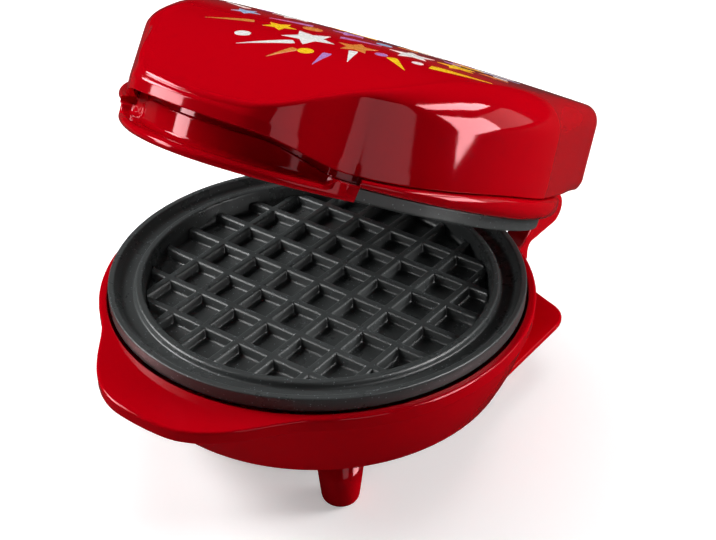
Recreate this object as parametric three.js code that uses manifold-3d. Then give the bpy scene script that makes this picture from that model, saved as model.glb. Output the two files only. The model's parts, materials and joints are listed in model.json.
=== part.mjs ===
// Mini waffle maker: a round two-plate iron on four feet, its lid standing part open.
// Millimetres, +Z up, front (handles) towards -Y. Heights named "...Z" are measured
// from the plane of the lower plate's rim, which stands rimHeight above the table.
import * as THREE from 'three';
import { mergeVertices } from 'three/addons/utils/BufferGeometryUtils.js';
import Module from 'manifold-3d';

const wasm = await Module();
wasm.setup();

const { degToRad, smoothstep, lerp, clamp } = THREE.MathUtils;

// Overall
const rimHeight = 51.4;
const openAngle = degToRad(27);
const clearance = 0.3;
const cutOverrun = 2;
const weldDistance = 1e-4;

// The lower plate's radius drives the plan: every other ring and depth lies a named
// distance outside or inside the plate's edge
const plateRadius = 70;
const outside = {
  mouth: 0.8, cover: 1, recess: 1, flange: 3.5, hinge: 6, coverCorner: 6, shelfRear: 8, rearSpan: 8,
  coverRear: 9.5, noseSpan: 14, tab: 14.3, handle: 18,
};
const inside = {
  tabRoot: 0.6, upperPlate: 1.5, shelfCorner: 4, channelStart: 4, bowlBottom: 5, coverBoss: 6.8,
  shelfSide: 7.5, leadTail: 8, channelEnd: 8.3, ridgeStart: 9, lip: 9, upperShoulder: 9.7, ridgeEnd: 11,
  earRoot: 11.5, well: 12.6, foot: 13.5, coverCorner: 16, upperPan: 19, block: 20, post: 22.5,
  bottomCover: 25, lowerPan: 28.5, boss: 29, floorOpening: 32, element: 36,
};
const hinge = { y: plateRadius + outside.hinge, z: -3.3 };
const sides = {
  round: 60, plate: 48, pan: 24, tube: 8, foot: 16, bush: 16, cavity: 16, cap: 18, small: 10, screw: 8,
};

// Base housing: a tapering bowl with a flange, a front handle, a rear shelf and feet
const bowl = {
  flangeZ: -5, flangeRadius: plateRadius + outside.flange, flangeBand: 4.6,
  mouthRadius: plateRadius + outside.mouth, edge: 0.8,
  bottomZ: -32.5, bottomRadius: plateRadius - inside.bowlBottom, bellyBulge: 1.3,
  wall: 2.4, floor: 2.5, floorOpening: plateRadius - inside.floorOpening,
};
const outerDepthShares = [0.12, 0.42, 0.72, 0.93];
const handle = { reach: plateRadius + outside.handle, flatHalfAngle: 6, endHalfAngle: 37 };
const shelf = {
  halfWidth: plateRadius - inside.shelfSide, rearY: plateRadius + outside.shelfRear,
  cornerY: plateRadius - inside.shelfCorner, cornerRadius: 9, thickness: 2.5,
};
const foot = {
  ring: plateRadius - inside.foot, angle: 44, topRadius: 8.2, tipRadius: 6, tipRound: 2.2, chamfer: 0.7,
};
const ear = {
  inner: 37, outer: 45, radius: 5.8, endBack: 6.4, endRise: 2.4, rootY: plateRadius - inside.earRoot,
  rootTopZ: -5.4, rootGap: 11.6, rootLowZ: -12.8, shoulderGap: 6, shoulderZ: 3,
};
const post = {
  ring: plateRadius - inside.post, radius: 4.2, topZ: -16.3, hole: 2, headRoom: 3.8, headDepth: 4.5,
  angle: 30,
};
const boss = { ring: plateRadius - inside.boss, radius: 3.2, height: 5.5, hole: 1.5, count: 4 };

// Plates
const lowerPlate = {
  radius: plateRadius, lip: 1.8, lipRound: 0.6, channelDepth: 3, ridgeDrop: 1,
  channelOuter: plateRadius - inside.channelStart, channelInner: plateRadius - inside.channelEnd,
  ridgeOuter: plateRadius - inside.ridgeStart, ridgeInner: plateRadius - inside.ridgeEnd,
  wellRadius: plateRadius - inside.well, wellDepth: 8.2, web: 3, skirtDepth: 4.2, flangeWeb: 3, bossRadius: 4,
};
const grid = { pitch: 14, topWidth: 2.2, footWidth: 4.4, height: 3.2, lines: 7, sunk: 0.6 };
const upperPlate = {
  radius: plateRadius - inside.upperPlate, restGap: 0.3, band: 4, channelHeight: 3, ridgeHeight: 1,
  wellHeight: 8, topHeight: 16, shoulder: plateRadius - inside.upperShoulder,
  petalDepth: 4.6, eyeRadius: 13, petalRadius: 10.5, petalRing: 31, petals: 5, draft: 2.2,
};

// Lid cover: round wall, a nose at the front, cut-back sides and square rear corners
const cover = {
  radius: plateRadius + outside.cover, nose: 12.5, noseFlatAngle: 12, noseEndAngle: 37, facetY: 8,
  cornerX: plateRadius - inside.coverCorner, cornerY: plateRadius + outside.coverCorner,
  rearY: plateRadius + outside.coverRear, cornerSoft: 1.05, wall: 2.2, draft: 1, crownZ: 43.3,
  noseFall: 26.3, noseSpan: plateRadius + outside.noseSpan, sideFall: 2,
  rearFall: 1.5, rearSpan: plateRadius + outside.rearSpan,
  noseEdgeRound: 2.2, sideEdgeRound: 13, rearEdgeRound: 7, leastRound: 0.2,
  noseRoundEnd: 32, sideRoundStart: 62, sideRoundEnd: 95, rearRoundStart: 140,
  frontPartZ: 13, shoulderPartZ: 7.5, rearPartZ: 11.5,
  shoulderAngle: 36, rearAngle: 85, dipStartAngle: 14,
  footTuck: 1.5, footRise: 4, footStartAngle: 120, footEndAngle: 140,
};
const edgeSteps = 4;
const crownShares = [0.75, 0.45];
// Extra sections where the lid's plan turns sharply: the grip tab's ends and the rear corners
const lidExtraAngles = [31, 32.5, 33.5, 35, 36.8, 38, 38.4, 38.7, 141, 147];
const coverBoss = {
  ring: plateRadius - inside.coverBoss, radius: 2.6, hole: 1.3, holeDepth: 10.4, screwDepth: 7.2,
  angles: [52, 128],
};

// Lid frame: a rolled rim, round all the way, with a grip tab at the front. The tab is
// an arched lip with a finger recess above it, closed by a full-height block at each end.
const frame = {
  lipInner: plateRadius - inside.lip, lipZ: 4.6, lipThickness: 2.2, bead: 2.1, beadTop: 0.25, groove: 0.15,
  beadRoot: plateRadius, wall: 2.1, tabReach: plateRadius + outside.tab, tabBowShare: 1.138,
  tabRoot: plateRadius - inside.tabRoot, tabLowZ: 0.3, tabThickness: 3, tabRound: 1,
  recessDepth: 6, recessLeast: plateRadius + outside.recess, recessEndAngle: 31,
  blockAngle: 33.5, tabEndAngle: 38.4, tabStep: 0.3, ceilingDrop: 2, noseSetBack: 1, tongue: 3, noseTongue: 2,
};
// The rolled rim's profile: outward and upward shares, from under the rim to the parting line
const beadShares = [[0, 0], [0.35, 0.05], [0.7, 0.18], [0.92, 0.36], [1, 0.55], [0.97, 0.76], [0.86, 0.93]];
const knuckle = {
  inner: 27, outer: 36, radius: 6, bore: 2.2, stemFrontGap: 7.5, stemTopZ: 12.2, stemRearGap: 2.8,
  neckGap: 0.5, neckZ: 7.5,
};
const pin = { radius: 1.9, inset: 1 };

// Fittings
const heater = {
  ring: plateRadius - inside.element, tube: 3.2, gapAngle: 26, pinAngle: 30, pinRadius: 1.3, pinLength: 8,
  steps: 24,
};
const pan = {
  radius: plateRadius - inside.lowerPan, sheet: 0.8, innerBend: 2.1, eye: 9.6,
  upperRadius: plateRadius - inside.upperPan,
};
const thermostat = { radius: 8, height: 9, capRadius: 5.4, capHeight: 2 };
const strap = { halfLength: 16, width: 8, sheet: 0.8, bend: 11.5 };
const fuse = { radius: 2, length: 13, x: 24, y: -8 };
const block = {
  length: 30, depth: 12, height: 9, y: plateRadius - inside.block, bores: 3, bore: 1.6, pitch: 9,
};
const bush = { z: -21.5, flange: 6.5, neck: 4.6, bore: 3.2, flangeThickness: 2, tail: 2, seat: 0.8 };
const lead = { radius: 1.2, sag: 4, spread: 5, tailY: plateRadius - inside.leadTail, tailZ: 18.6, steps: 8 };
const screw = { head: 3, headHeight: 2, shank: 1.6 };
const smallScrew = { head: 2.4, headHeight: 1.1, shank: 1.1 };
const plateScrew = { angles: [25, 152] };
const base = {
  coverRadius: plateRadius - inside.bottomCover, coverSheet: 2, slotLength: 14, slotWidth: 2.4, slotRing: 24,
  slots: 8,
};

const finish = {
  red: { color: 0xb4000f, roughness: 0.16, metalness: 0 },
  nonStick: { color: 0x303236, roughness: 0.42, metalness: 0.15 },
  steel: { color: 0xa8abae, roughness: 0.35, metalness: 1 },
  element: { color: 0x5b5d60, roughness: 0.5, metalness: 0.8 },
  black: { color: 0x17171a, roughness: 0.6, metalness: 0 },
  cream: { color: 0xd9d4c6, roughness: 0.6, metalness: 0 },
  lead: { color: 0xc9c6bc, roughness: 0.7, metalness: 0 },
};

// Solid modelling helpers

function toSolid(geometry) {
  const bare = geometry.clone();
  bare.deleteAttribute('normal');
  bare.deleteAttribute('uv');
  const merged = mergeVertices(bare, weldDistance);
  return new wasm.Manifold(new wasm.Mesh({
    numProp: 3,
    vertProperties: new Float32Array(merged.attributes.position.array),
    triVerts: new Uint32Array(merged.index.array),
  }));
}

function toGeometry(solid) {
  const mesh = solid.getMesh();
  const geometry = new THREE.BufferGeometry();
  geometry.setAttribute('position', new THREE.BufferAttribute(new Float32Array(mesh.vertProperties), 3));
  geometry.setIndex(new THREE.BufferAttribute(new Uint32Array(mesh.triVerts), 1));
  geometry.computeVertexNormals();
  return geometry;
}

function combine(geometry, added, removed) {
  let solid = toSolid(geometry);
  for (const piece of added) solid = solid.add(toSolid(piece));
  for (const piece of removed) solid = solid.subtract(toSolid(piece));
  return toGeometry(solid);
}

function signedVolume(positions, index) {
  const a = new THREE.Vector3();
  const b = new THREE.Vector3();
  const c = new THREE.Vector3();
  let volume = 0;
  for (let i = 0; i < index.length; i += 3) {
    a.fromArray(positions, index[i] * 3);
    b.fromArray(positions, index[i + 1] * 3);
    c.fromArray(positions, index[i + 2] * 3);
    volume += a.dot(b.cross(c));
  }
  return volume;
}

// Carries a section [radius, z] round the upright axis; the section may change with the
// angle, counted in degrees from the front. An open section starts and ends on the axis.
function loftAround(angles, sectionAt, closed) {
  const positions = [];
  const index = [];
  const count = angles.length;
  const sections = angles.map((angle) => sectionAt(angle <= 180 ? angle : angle - 360));
  const rows = sections[0].length;
  const vertexAt = [];
  for (let i = 0; i < count; i += 1) {
    const angle = degToRad(angles[i]);
    vertexAt.push([]);
    for (let j = 0; j < rows; j += 1) {
      const onAxis = !closed && (j === 0 || j === rows - 1);
      if (onAxis && i > 0) {
        vertexAt[i].push(vertexAt[0][j]);
        continue;
      }
      const [radius, z] = sections[i][j];
      vertexAt[i].push(positions.length / 3);
      positions.push(radius * Math.sin(angle), -radius * Math.cos(angle), z);
    }
  }
  const spans = closed ? rows : rows - 1;
  for (let i = 0; i < count; i += 1) {
    const here = vertexAt[i];
    const next = vertexAt[(i + 1) % count];
    for (let j = 0; j < spans; j += 1) {
      const k = (j + 1) % rows;
      if (here[j] !== next[j]) index.push(here[j], next[j], next[k]);
      if (here[k] !== next[k]) index.push(here[j], next[k], here[k]);
    }
  }
  if (signedVolume(positions, index) < 0) index.reverse();
  const geometry = new THREE.BufferGeometry();
  geometry.setAttribute('position', new THREE.Float32BufferAttribute(positions, 3));
  geometry.setIndex(index);
  geometry.computeVertexNormals();
  return geometry;
}

function lathe(points, segments) {
  const outline = points.map(([radius, z]) => new THREE.Vector2(radius, z));
  const geometry = new THREE.LatheGeometry(outline, segments);
  geometry.rotateX(Math.PI / 2);
  const bare = geometry.clone();
  bare.deleteAttribute('normal');
  bare.deleteAttribute('uv');
  const merged = mergeVertices(bare, weldDistance);
  const index = Array.from(merged.index.array);
  const kept = [];
  for (let i = 0; i < index.length; i += 3) {
    const [a, b, c] = index.slice(i, i + 3);
    if (a !== b && b !== c && c !== a) kept.push(a, b, c);
  }
  if (signedVolume(merged.attributes.position.array, kept) < 0) kept.reverse();
  merged.setIndex(kept);
  merged.computeVertexNormals();
  return merged;
}

function rod(radius, lowZ, highZ, segments = sides.small) {
  const geometry = new THREE.CylinderGeometry(radius, radius, highZ - lowZ, segments);
  geometry.rotateX(Math.PI / 2);
  geometry.translate(0, 0, (lowZ + highZ) / 2);
  return geometry;
}

function crossRod(radius, fromX, toX, segments = sides.small) {
  const geometry = new THREE.CylinderGeometry(radius, radius, toX - fromX, segments);
  geometry.rotateZ(Math.PI / 2);
  geometry.translate((fromX + toX) / 2, hinge.y, hinge.z);
  return geometry;
}

function tube(points, radius, steps, segments = sides.tube) {
  const section = new THREE.Shape();
  section.absarc(0, 0, radius, 0, 2 * Math.PI, false);
  const curve = new THREE.CatmullRomCurve3(points.map(([x, y, z]) => new THREE.Vector3(x, y, z)));
  return new THREE.ExtrudeGeometry(section, {
    steps, curveSegments: segments / 2, bevelEnabled: false, extrudePath: curve,
  });
}

// Extrudes a side view drawn as (y, z) along X
function extrudeAlongX(shape, fromX, toX) {
  const geometry = new THREE.ExtrudeGeometry(shape, {
    depth: toX - fromX, bevelEnabled: false, curveSegments: sides.small,
  });
  const turn = new THREE.Matrix4().set(0, 0, 1, fromX, 1, 0, 0, 0, 0, 1, 0, 0, 0, 0, 0, 1);
  return geometry.applyMatrix4(turn);
}

function placed(geometry, ring, angle) {
  const copy = geometry.clone();
  const turn = degToRad(angle);
  copy.translate(ring * Math.sin(turn), -ring * Math.cos(turn), 0);
  return copy;
}

function aroundRing(geometry, ring, angles) {
  return angles.map((angle) => placed(geometry, ring, angle));
}

function evenAngles(count, first) {
  return Array.from({ length: count }, (_, i) => first + (i * 360) / count);
}

function mirrored(angles) {
  return angles.flatMap((angle) => [angle, -angle]);
}

const baseAngles = evenAngles(sides.round, 0);
const lidAngles = [...new Set([
  ...baseAngles, ...lidExtraAngles, ...lidExtraAngles.map((angle) => 360 - angle),
])].sort((a, b) => a - b);

// Base housing

function bowlRadius(z) {
  const share = (bowl.flangeZ - z) / (bowl.flangeZ - bowl.bottomZ);
  const straight = lerp(bowl.flangeRadius, bowl.bottomRadius, share);
  return straight + bowl.bellyBulge * Math.sin(Math.PI * share);
}

function flangeOutline(angle) {
  const held = 1 - smoothstep(Math.abs(angle), handle.flatHalfAngle, handle.endHalfAngle);
  return bowl.flangeRadius + (handle.reach - bowl.flangeRadius) * held;
}

function housingSection(angle) {
  const rim = flangeOutline(angle);
  const bandLow = bowl.flangeZ - bowl.flangeBand;
  const innerAt = (z) => Math.min(bowlRadius(z) - bowl.wall, bowl.mouthRadius);
  const outerDepths = outerDepthShares.map((share) => lerp(bandLow, bowl.bottomZ, share));
  const halfway = (bandLow + bowl.bottomZ) / 2;
  const floorTop = bowl.bottomZ + bowl.floor;
  return [
    [bowl.mouthRadius, bowl.flangeZ - bowl.edge],
    [bowl.mouthRadius + bowl.edge / 2, bowl.flangeZ],
    [rim - bowl.edge, bowl.flangeZ],
    [rim, bowl.flangeZ - bowl.edge],
    [rim, bandLow + bowl.edge],
    [rim - bowl.edge, bandLow],
    ...outerDepths.map((z) => [bowlRadius(z), z]),
    [bowl.bottomRadius - bowl.edge, bowl.bottomZ],
    [bowl.floorOpening, bowl.bottomZ],
    [bowl.floorOpening, floorTop],
    [innerAt(floorTop) - bowl.edge, floorTop],
    [innerAt(halfway), halfway],
    [innerAt(bandLow) - bowl.edge, bandLow - bowl.edge],
  ];
}

function shelfPlate() {
  const corner = shelf.cornerRadius;
  const shape = new THREE.Shape();
  const half = shelf.halfWidth;
  shape.moveTo(-half, 0);
  shape.lineTo(-half, shelf.cornerY - corner);
  shape.quadraticCurveTo(-half, shelf.cornerY, corner - half, shelf.cornerY + corner / 4);
  shape.quadraticCurveTo(0, 2 * shelf.rearY - shelf.cornerY, half - corner, shelf.cornerY + corner / 4);
  shape.quadraticCurveTo(half, shelf.cornerY, half, shelf.cornerY - corner);
  shape.lineTo(half, 0);
  shape.closePath();
  const sheet = new THREE.ExtrudeGeometry(shape, {
    depth: shelf.thickness, bevelEnabled: false, curveSegments: sides.small / 2,
  });
  sheet.translate(0, 0, bowl.bottomZ);
  const openingTop = bowl.bottomZ + shelf.thickness + cutOverrun;
  const opening = rod(bowl.floorOpening, bowl.bottomZ - cutOverrun, openingTop, sides.round);
  return combine(sheet, [], [opening]);
}

function footCone() {
  const tipZ = -rimHeight;
  const rootZ = bowl.bottomZ + bowl.floor / 2;
  return lathe([
    [0, tipZ],
    [foot.tipRadius - foot.tipRound, tipZ],
    [foot.tipRadius - foot.chamfer, tipZ + foot.chamfer],
    [foot.tipRadius, tipZ + foot.tipRound],
    [foot.topRadius, rootZ],
    [0, rootZ],
  ], sides.foot);
}

function hingeEar(fromX, toX) {
  const shape = new THREE.Shape();
  const endY = hinge.y + ear.endBack;
  const endZ = hinge.z + ear.endRise;
  shape.moveTo(ear.rootY, ear.rootTopZ);
  shape.lineTo(ear.rootY, ear.rootLowZ);
  shape.lineTo(hinge.y - ear.rootGap, ear.rootLowZ);
  shape.lineTo(hinge.y - ear.rootGap, endZ - ear.radius);
  shape.absarc(endY, endZ, ear.radius, -Math.PI / 2, Math.PI / 2, false);
  shape.lineTo(hinge.y - ear.shoulderGap, ear.shoulderZ);
  shape.closePath();
  return extrudeAlongX(shape, fromX, toX);
}

const footAngles = [foot.angle, 180 - foot.angle, 180 + foot.angle, -foot.angle];
const postAngles = mirrored([post.angle, 180 - post.angle]);
const bossAngles = evenAngles(boss.count, 360 / boss.count / 2);

function baseHousing() {
  const floorTop = bowl.bottomZ + bowl.floor;
  const rootZ = bowl.bottomZ + bowl.floor / 2;
  const posts = aroundRing(rod(post.radius, rootZ, post.topZ), post.ring, postAngles);
  const bosses = aroundRing(rod(boss.radius, rootZ, floorTop + boss.height), boss.ring, bossAngles);
  const postHoles = aroundRing(
    rod(post.hole, bowl.bottomZ - cutOverrun, post.topZ + cutOverrun), post.ring, postAngles,
  );
  const headHoles = aroundRing(
    rod(post.headRoom, bowl.bottomZ - cutOverrun, bowl.bottomZ + post.headDepth), post.ring, postAngles,
  );
  const bossHoles = aroundRing(
    rod(boss.hole, bowl.bottomZ - cutOverrun, floorTop + boss.height + cutOverrun), boss.ring, bossAngles,
  );
  const wallHole = (radius, fromY) => {
    const geometry = rod(radius, fromY, bowl.flangeRadius + cutOverrun, sides.bush);
    return geometry.rotateX(-Math.PI / 2).translate(0, 0, bush.z);
  };
  const bushHole = wallHole(bush.neck + 2 * clearance, bowl.bottomRadius - bowl.wall - cutOverrun);
  const bushSeat = wallHole(bush.flange + 2 * clearance, bowlRadius(bush.z) - bush.seat);
  return combine(
    loftAround(baseAngles, housingSection, true),
    [
      shelfPlate(),
      ...aroundRing(footCone(), foot.ring, footAngles),
      ...posts,
      ...bosses,
      hingeEar(ear.inner, ear.outer),
      hingeEar(-ear.outer, -ear.inner),
    ],
    [
      ...postHoles,
      ...headHoles,
      ...bossHoles,
      bushHole,
      bushSeat,
      crossRod(pin.radius + clearance, ear.inner - cutOverrun, ear.outer - pin.inset),
      crossRod(pin.radius + clearance, -ear.outer + pin.inset, -ear.inner + cutOverrun),
    ],
  );
}

function bottomCover() {
  const topZ = bowl.bottomZ - clearance;
  const lowZ = topZ - base.coverSheet;
  const slot = new THREE.BoxGeometry(base.slotWidth, base.slotLength, base.coverSheet + 2 * cutOverrun);
  slot.translate(0, -base.slotRing, (topZ + lowZ) / 2);
  const slots = evenAngles(base.slots, 0).map((angle) => slot.clone().rotateZ(degToRad(angle)));
  const holes = aroundRing(
    rod(screw.shank + clearance, lowZ - cutOverrun, topZ + cutOverrun, sides.screw), boss.ring, bossAngles,
  );
  const edge = base.coverSheet / 3;
  const disc = lathe([
    [0, lowZ], [base.coverRadius - edge, lowZ], [base.coverRadius, lowZ + edge],
    [base.coverRadius, topZ], [0, topZ],
  ], sides.pan);
  return combine(disc, [], [...slots, ...holes]);
}

// A pan-head screw, head down at headZ, its shank rising to tipZ
function screwUp(kind, headZ, tipZ) {
  const headLow = headZ - kind.headHeight;
  return lathe([
    [0, headLow],
    [kind.head - kind.headHeight / 3, headLow],
    [kind.head, headZ],
    [kind.shank, headZ],
    [kind.shank, tipZ],
    [0, tipZ],
  ], sides.screw);
}

function screwDown(kind, headZ, tipZ) {
  const geometry = screwUp(kind, -headZ, -tipZ);
  geometry.rotateX(Math.PI);
  return geometry;
}

function bottomCoverScrew() {
  const headZ = bowl.bottomZ - clearance - base.coverSheet - clearance;
  const tipZ = bowl.bottomZ + bowl.floor + boss.height - clearance;
  return screwUp({ ...screw, shank: boss.hole - clearance }, headZ, tipZ);
}

function lowerPlateScrew() {
  return screwUp(screw, bowl.bottomZ + post.headDepth - clearance, lowerUnder - clearance);
}

function lidCoverScrew() {
  const headZ = frame.lipZ + smallScrew.headHeight;
  const tipZ = frame.lipZ + frame.lipThickness + coverBoss.screwDepth;
  return screwUp({ ...smallScrew, shank: coverBoss.hole - clearance }, headZ, tipZ);
}

function upperPlateScrew() {
  const seatZ = frame.lipZ + frame.lipThickness + clearance;
  const tipZ = upperPlate.restGap + upperPlate.channelHeight + lowerPlate.lipRound + clearance;
  return screwDown(smallScrew, seatZ, tipZ);
}

// Plates

function lowerPlateCasting() {
  const p = lowerPlate;
  const under = -p.wellDepth - p.web;
  const casting = lathe([
    [0, -p.wellDepth],
    [p.wellRadius - 1.5 * p.lipRound, -p.wellDepth],
    [p.wellRadius, -p.wellDepth + 1.5 * p.lipRound],
    [p.ridgeInner - p.lipRound, -p.ridgeDrop - p.lipRound],
    [p.ridgeInner, -p.ridgeDrop],
    [p.ridgeOuter - p.lipRound / 2, -p.ridgeDrop],
    [p.ridgeOuter, -p.ridgeDrop - p.lipRound],
    [p.channelInner, -p.channelDepth],
    [p.channelOuter, -p.channelDepth],
    [p.radius - p.lip - p.lipRound, -p.lipRound],
    [p.radius - p.lip, 0],
    [p.radius - p.lipRound, 0],
    [p.radius, -p.lipRound],
    [p.radius, -p.skirtDepth],
    [p.radius - p.lip, -p.skirtDepth - p.lipRound],
    [p.channelOuter, -p.channelDepth - p.flangeWeb],
    [p.ridgeOuter + p.lip, -p.channelDepth - p.flangeWeb],
    [p.ridgeOuter, under + p.lip],
    [p.ridgeOuter - p.lip, under],
    [0, under],
  ], sides.plate);
  const bossLow = post.topZ + clearance;
  const bossTop = under + p.web / 2;
  const bosses = aroundRing(rod(p.bossRadius, bossLow, bossTop), post.ring, postAngles);
  const hole = rod(screw.shank + clearance, bossLow - cutOverrun, bossTop);
  const holes = aroundRing(hole, post.ring, postAngles);
  return combine(casting, [gridRibs(), ...bosses], holes);
}

// Crossing ribs of the classic waffle pattern, trimmed to the well
function gridRibs() {
  const rib = new THREE.Shape();
  const low = -grid.sunk;
  const grow = ((grid.footWidth - grid.topWidth) / 2 / grid.height) * grid.sunk;
  rib.moveTo(-grid.footWidth / 2 - grow, low);
  rib.lineTo(grid.footWidth / 2 + grow, low);
  rib.lineTo(grid.topWidth / 2, grid.height);
  rib.lineTo(-grid.topWidth / 2, grid.height);
  rib.closePath();
  const length = 2 * lowerPlate.wellRadius;
  const single = new THREE.ExtrudeGeometry(rib, { depth: length, bevelEnabled: false });
  single.translate(0, 0, -length / 2);
  single.rotateX(Math.PI / 2);
  single.translate(0, 0, -lowerPlate.wellDepth);
  const well = toSolid(rod(lowerPlate.wellRadius, -lowerPlate.wellDepth - cutOverrun, 0, sides.plate));
  let ribs = null;
  for (let i = 0; i < grid.lines; i += 1) {
    const offset = (i - (grid.lines - 1) / 2) * grid.pitch;
    const along = toSolid(single.clone().translate(offset, 0, 0));
    const across = toSolid(single.clone().rotateZ(Math.PI / 2).translate(0, offset, 0));
    ribs = ribs ? ribs.add(along).add(across) : along.add(across);
  }
  return toGeometry(ribs.intersect(well));
}

function upperPlateCasting() {
  const p = upperPlate;
  const q = lowerPlate;
  const low = p.restGap;
  const casting = lathe([
    [0, low + p.wellHeight],
    [q.wellRadius - q.lipRound, low + p.wellHeight],
    [q.ridgeInner, low + p.ridgeHeight],
    [q.ridgeOuter, low + p.ridgeHeight],
    [q.channelInner, low + p.channelHeight],
    [q.channelOuter, low + p.channelHeight],
    [p.radius - q.lip, low],
    [p.radius - q.lipRound, low],
    [p.radius, low + q.lipRound],
    [p.radius, low + p.band - q.lipRound],
    [p.radius - q.lipRound, low + p.band],
    [p.shoulder, low + p.band],
    [p.shoulder - q.lip, p.topHeight],
    [0, p.topHeight],
  ], sides.plate);
  // A blossom of round cavities: one eye and a ring of petals, each with draft
  const cavity = (radius) => {
    const depth = p.petalDepth + cutOverrun;
    const geometry = new THREE.CylinderGeometry(radius - p.draft, radius, depth, sides.cavity);
    geometry.rotateX(Math.PI / 2);
    geometry.translate(0, 0, low + p.wellHeight + (p.petalDepth - cutOverrun) / 2);
    return geometry;
  };
  const petals = aroundRing(cavity(p.petalRadius), p.petalRing, evenAngles(p.petals, 0));
  const holes = aroundRing(
    rod(smallScrew.shank + clearance, low + p.channelHeight + q.lipRound, low + p.band + cutOverrun),
    plateScrewRing, plateScrewAngles,
  );
  return combine(casting, [], [cavity(p.eyeRadius), ...petals, ...holes]);
}

// Lid cover

function coverOutline(angle) {
  const c = cover;
  const turn = degToRad(Math.abs(angle));
  const acrossShare = Math.sin(turn);
  const backShare = -Math.cos(turn);
  const bulge = 1 - smoothstep(Math.abs(angle), c.noseFlatAngle, c.noseEndAngle);
  const round = c.radius + c.nose * bulge;
  if (backShare * c.radius < c.facetY) return round;
  // The side's straight facet, from the round wall to the rear corner
  const facetX = Math.sqrt(c.radius ** 2 - c.facetY ** 2);
  const normalX = c.cornerY - c.facetY;
  const normalY = facetX - c.cornerX;
  const facet = (normalX * facetX + normalY * c.facetY) / (normalX * acrossShare + normalY * backShare);
  // The rear edge, a shallow arc through the two corners
  const bow = ((c.rearY - c.cornerY) / c.cornerX ** 2) * acrossShare ** 2;
  const rear = (2 * c.rearY) / (backShare + Math.sqrt(backShare ** 2 + 4 * bow * c.rearY));
  const nearer = Math.min(facet, rear);
  const farther = Math.max(facet, rear);
  return nearer - c.cornerSoft * Math.log(1 + Math.exp((nearer - farther) / c.cornerSoft));
}

function coverTop(x, y) {
  const noseFall = cover.noseFall * (y / cover.noseSpan) ** 2;
  const rearFall = cover.rearFall * (y / cover.rearSpan) ** 2;
  const fall = y < 0 ? noseFall : rearFall;
  return cover.crownZ - fall - cover.sideFall * (x / cover.radius) ** 2;
}

function partingZ(angle) {
  const turn = Math.abs(angle);
  const dipShare = smoothstep(turn, cover.dipStartAngle, cover.shoulderAngle);
  const riseShare = smoothstep(turn, cover.shoulderAngle, cover.rearAngle);
  return lerp(lerp(cover.frontPartZ, cover.shoulderPartZ, dipShare), cover.rearPartZ, riseShare);
}

function edgeRound(angle) {
  const turn = Math.abs(angle);
  const sideShare = smoothstep(turn, cover.noseRoundEnd, cover.sideRoundStart);
  const rearShare = smoothstep(turn, cover.sideRoundEnd, cover.rearRoundStart);
  return lerp(lerp(cover.noseEdgeRound, cover.sideEdgeRound, sideShare), cover.rearEdgeRound, rearShare);
}

// At the rear the foot of the cover's wall tucks in
function footTuck(angle) {
  return cover.footTuck * smoothstep(Math.abs(angle), cover.footStartAngle, cover.footEndAngle);
}

// The cover's skin, set in by an inset: parting line, wall, rounded edge, crown
function coverSkin(angle, inset) {
  const turn = degToRad(angle);
  const topAt = (radius) => coverTop(radius * Math.sin(turn), -radius * Math.cos(turn)) - inset;
  const wallFoot = coverOutline(angle) - inset;
  const wallTop = wallFoot - cover.draft;
  const round = Math.max(edgeRound(angle) - inset, cover.leastRound + inset / 4);
  const inner = wallTop - round;
  const edgeZ = topAt(inner);
  const footZ = partingZ(angle);
  const skin = [
    [wallFoot - footTuck(angle), footZ],
    [wallFoot - footTuck(angle) / 4, footZ + cover.footRise / 2],
    [wallFoot, footZ + cover.footRise],
  ];
  for (let i = 0; i <= edgeSteps; i += 1) {
    const t = ((i / edgeSteps) * Math.PI) / 2;
    skin.push([wallTop - round * (1 - Math.cos(t)), edgeZ - round * (1 - Math.sin(t))]);
  }
  crownShares.forEach((share) => skin.push([inner * share, topAt(inner * share)]));
  skin.push([0, topAt(0)]);
  return skin;
}

function coverSection(angle) {
  return [...coverSkin(angle, 0).reverse(), ...coverSkin(angle, cover.wall)];
}

function lidCover() {
  const frameLip = frame.lipZ + frame.lipThickness + clearance;
  const angles = mirrored(coverBoss.angles);
  const shell = toSolid(loftAround(lidAngles, coverSection, false));
  const filled = toSolid(loftAround(lidAngles, (angle) => {
    const skin = coverSkin(angle, cover.wall / 2);
    return [...skin.reverse(), [0, partingZ(angle)]];
  }, false));
  const below = toSolid(rod(cover.radius, frameLip - cutOverrun, cover.frontPartZ, sides.round));
  const hollow = filled.add(below);
  const bosses = aroundRing(rod(coverBoss.radius, frameLip, cover.crownZ), coverBoss.ring, angles);
  const hole = rod(coverBoss.hole, frameLip - cutOverrun, frameLip + coverBoss.holeDepth);
  let solid = shell;
  for (const column of bosses) solid = solid.add(toSolid(column).intersect(hollow));
  for (const bore of aroundRing(hole, coverBoss.ring, angles)) solid = solid.subtract(toSolid(bore));
  return toGeometry(solid);
}

// Lid frame

const plateScrewRing = (frame.lipInner + coverInnerAtSide()) / 2;
const plateScrewAngles = mirrored(plateScrew.angles);

function coverInnerAtSide() {
  return cover.radius - cover.wall - clearance - frame.wall;
}

// The tab's edge seen from above is a parabola, y = reach * (bowShare * (x / reach)^2 - 1)
function tabEdgeAt(angle) {
  const turn = degToRad(angle);
  const across = 4 * frame.tabBowShare * Math.sin(turn) ** 2;
  return (2 * frame.tabReach) / (Math.cos(turn) + Math.sqrt(Math.cos(turn) ** 2 + across));
}

function mixPoints(from, to, share) {
  return from.map(([radius, z], i) => [lerp(radius, to[i][0], share), lerp(z, to[i][1], share)]);
}

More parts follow.
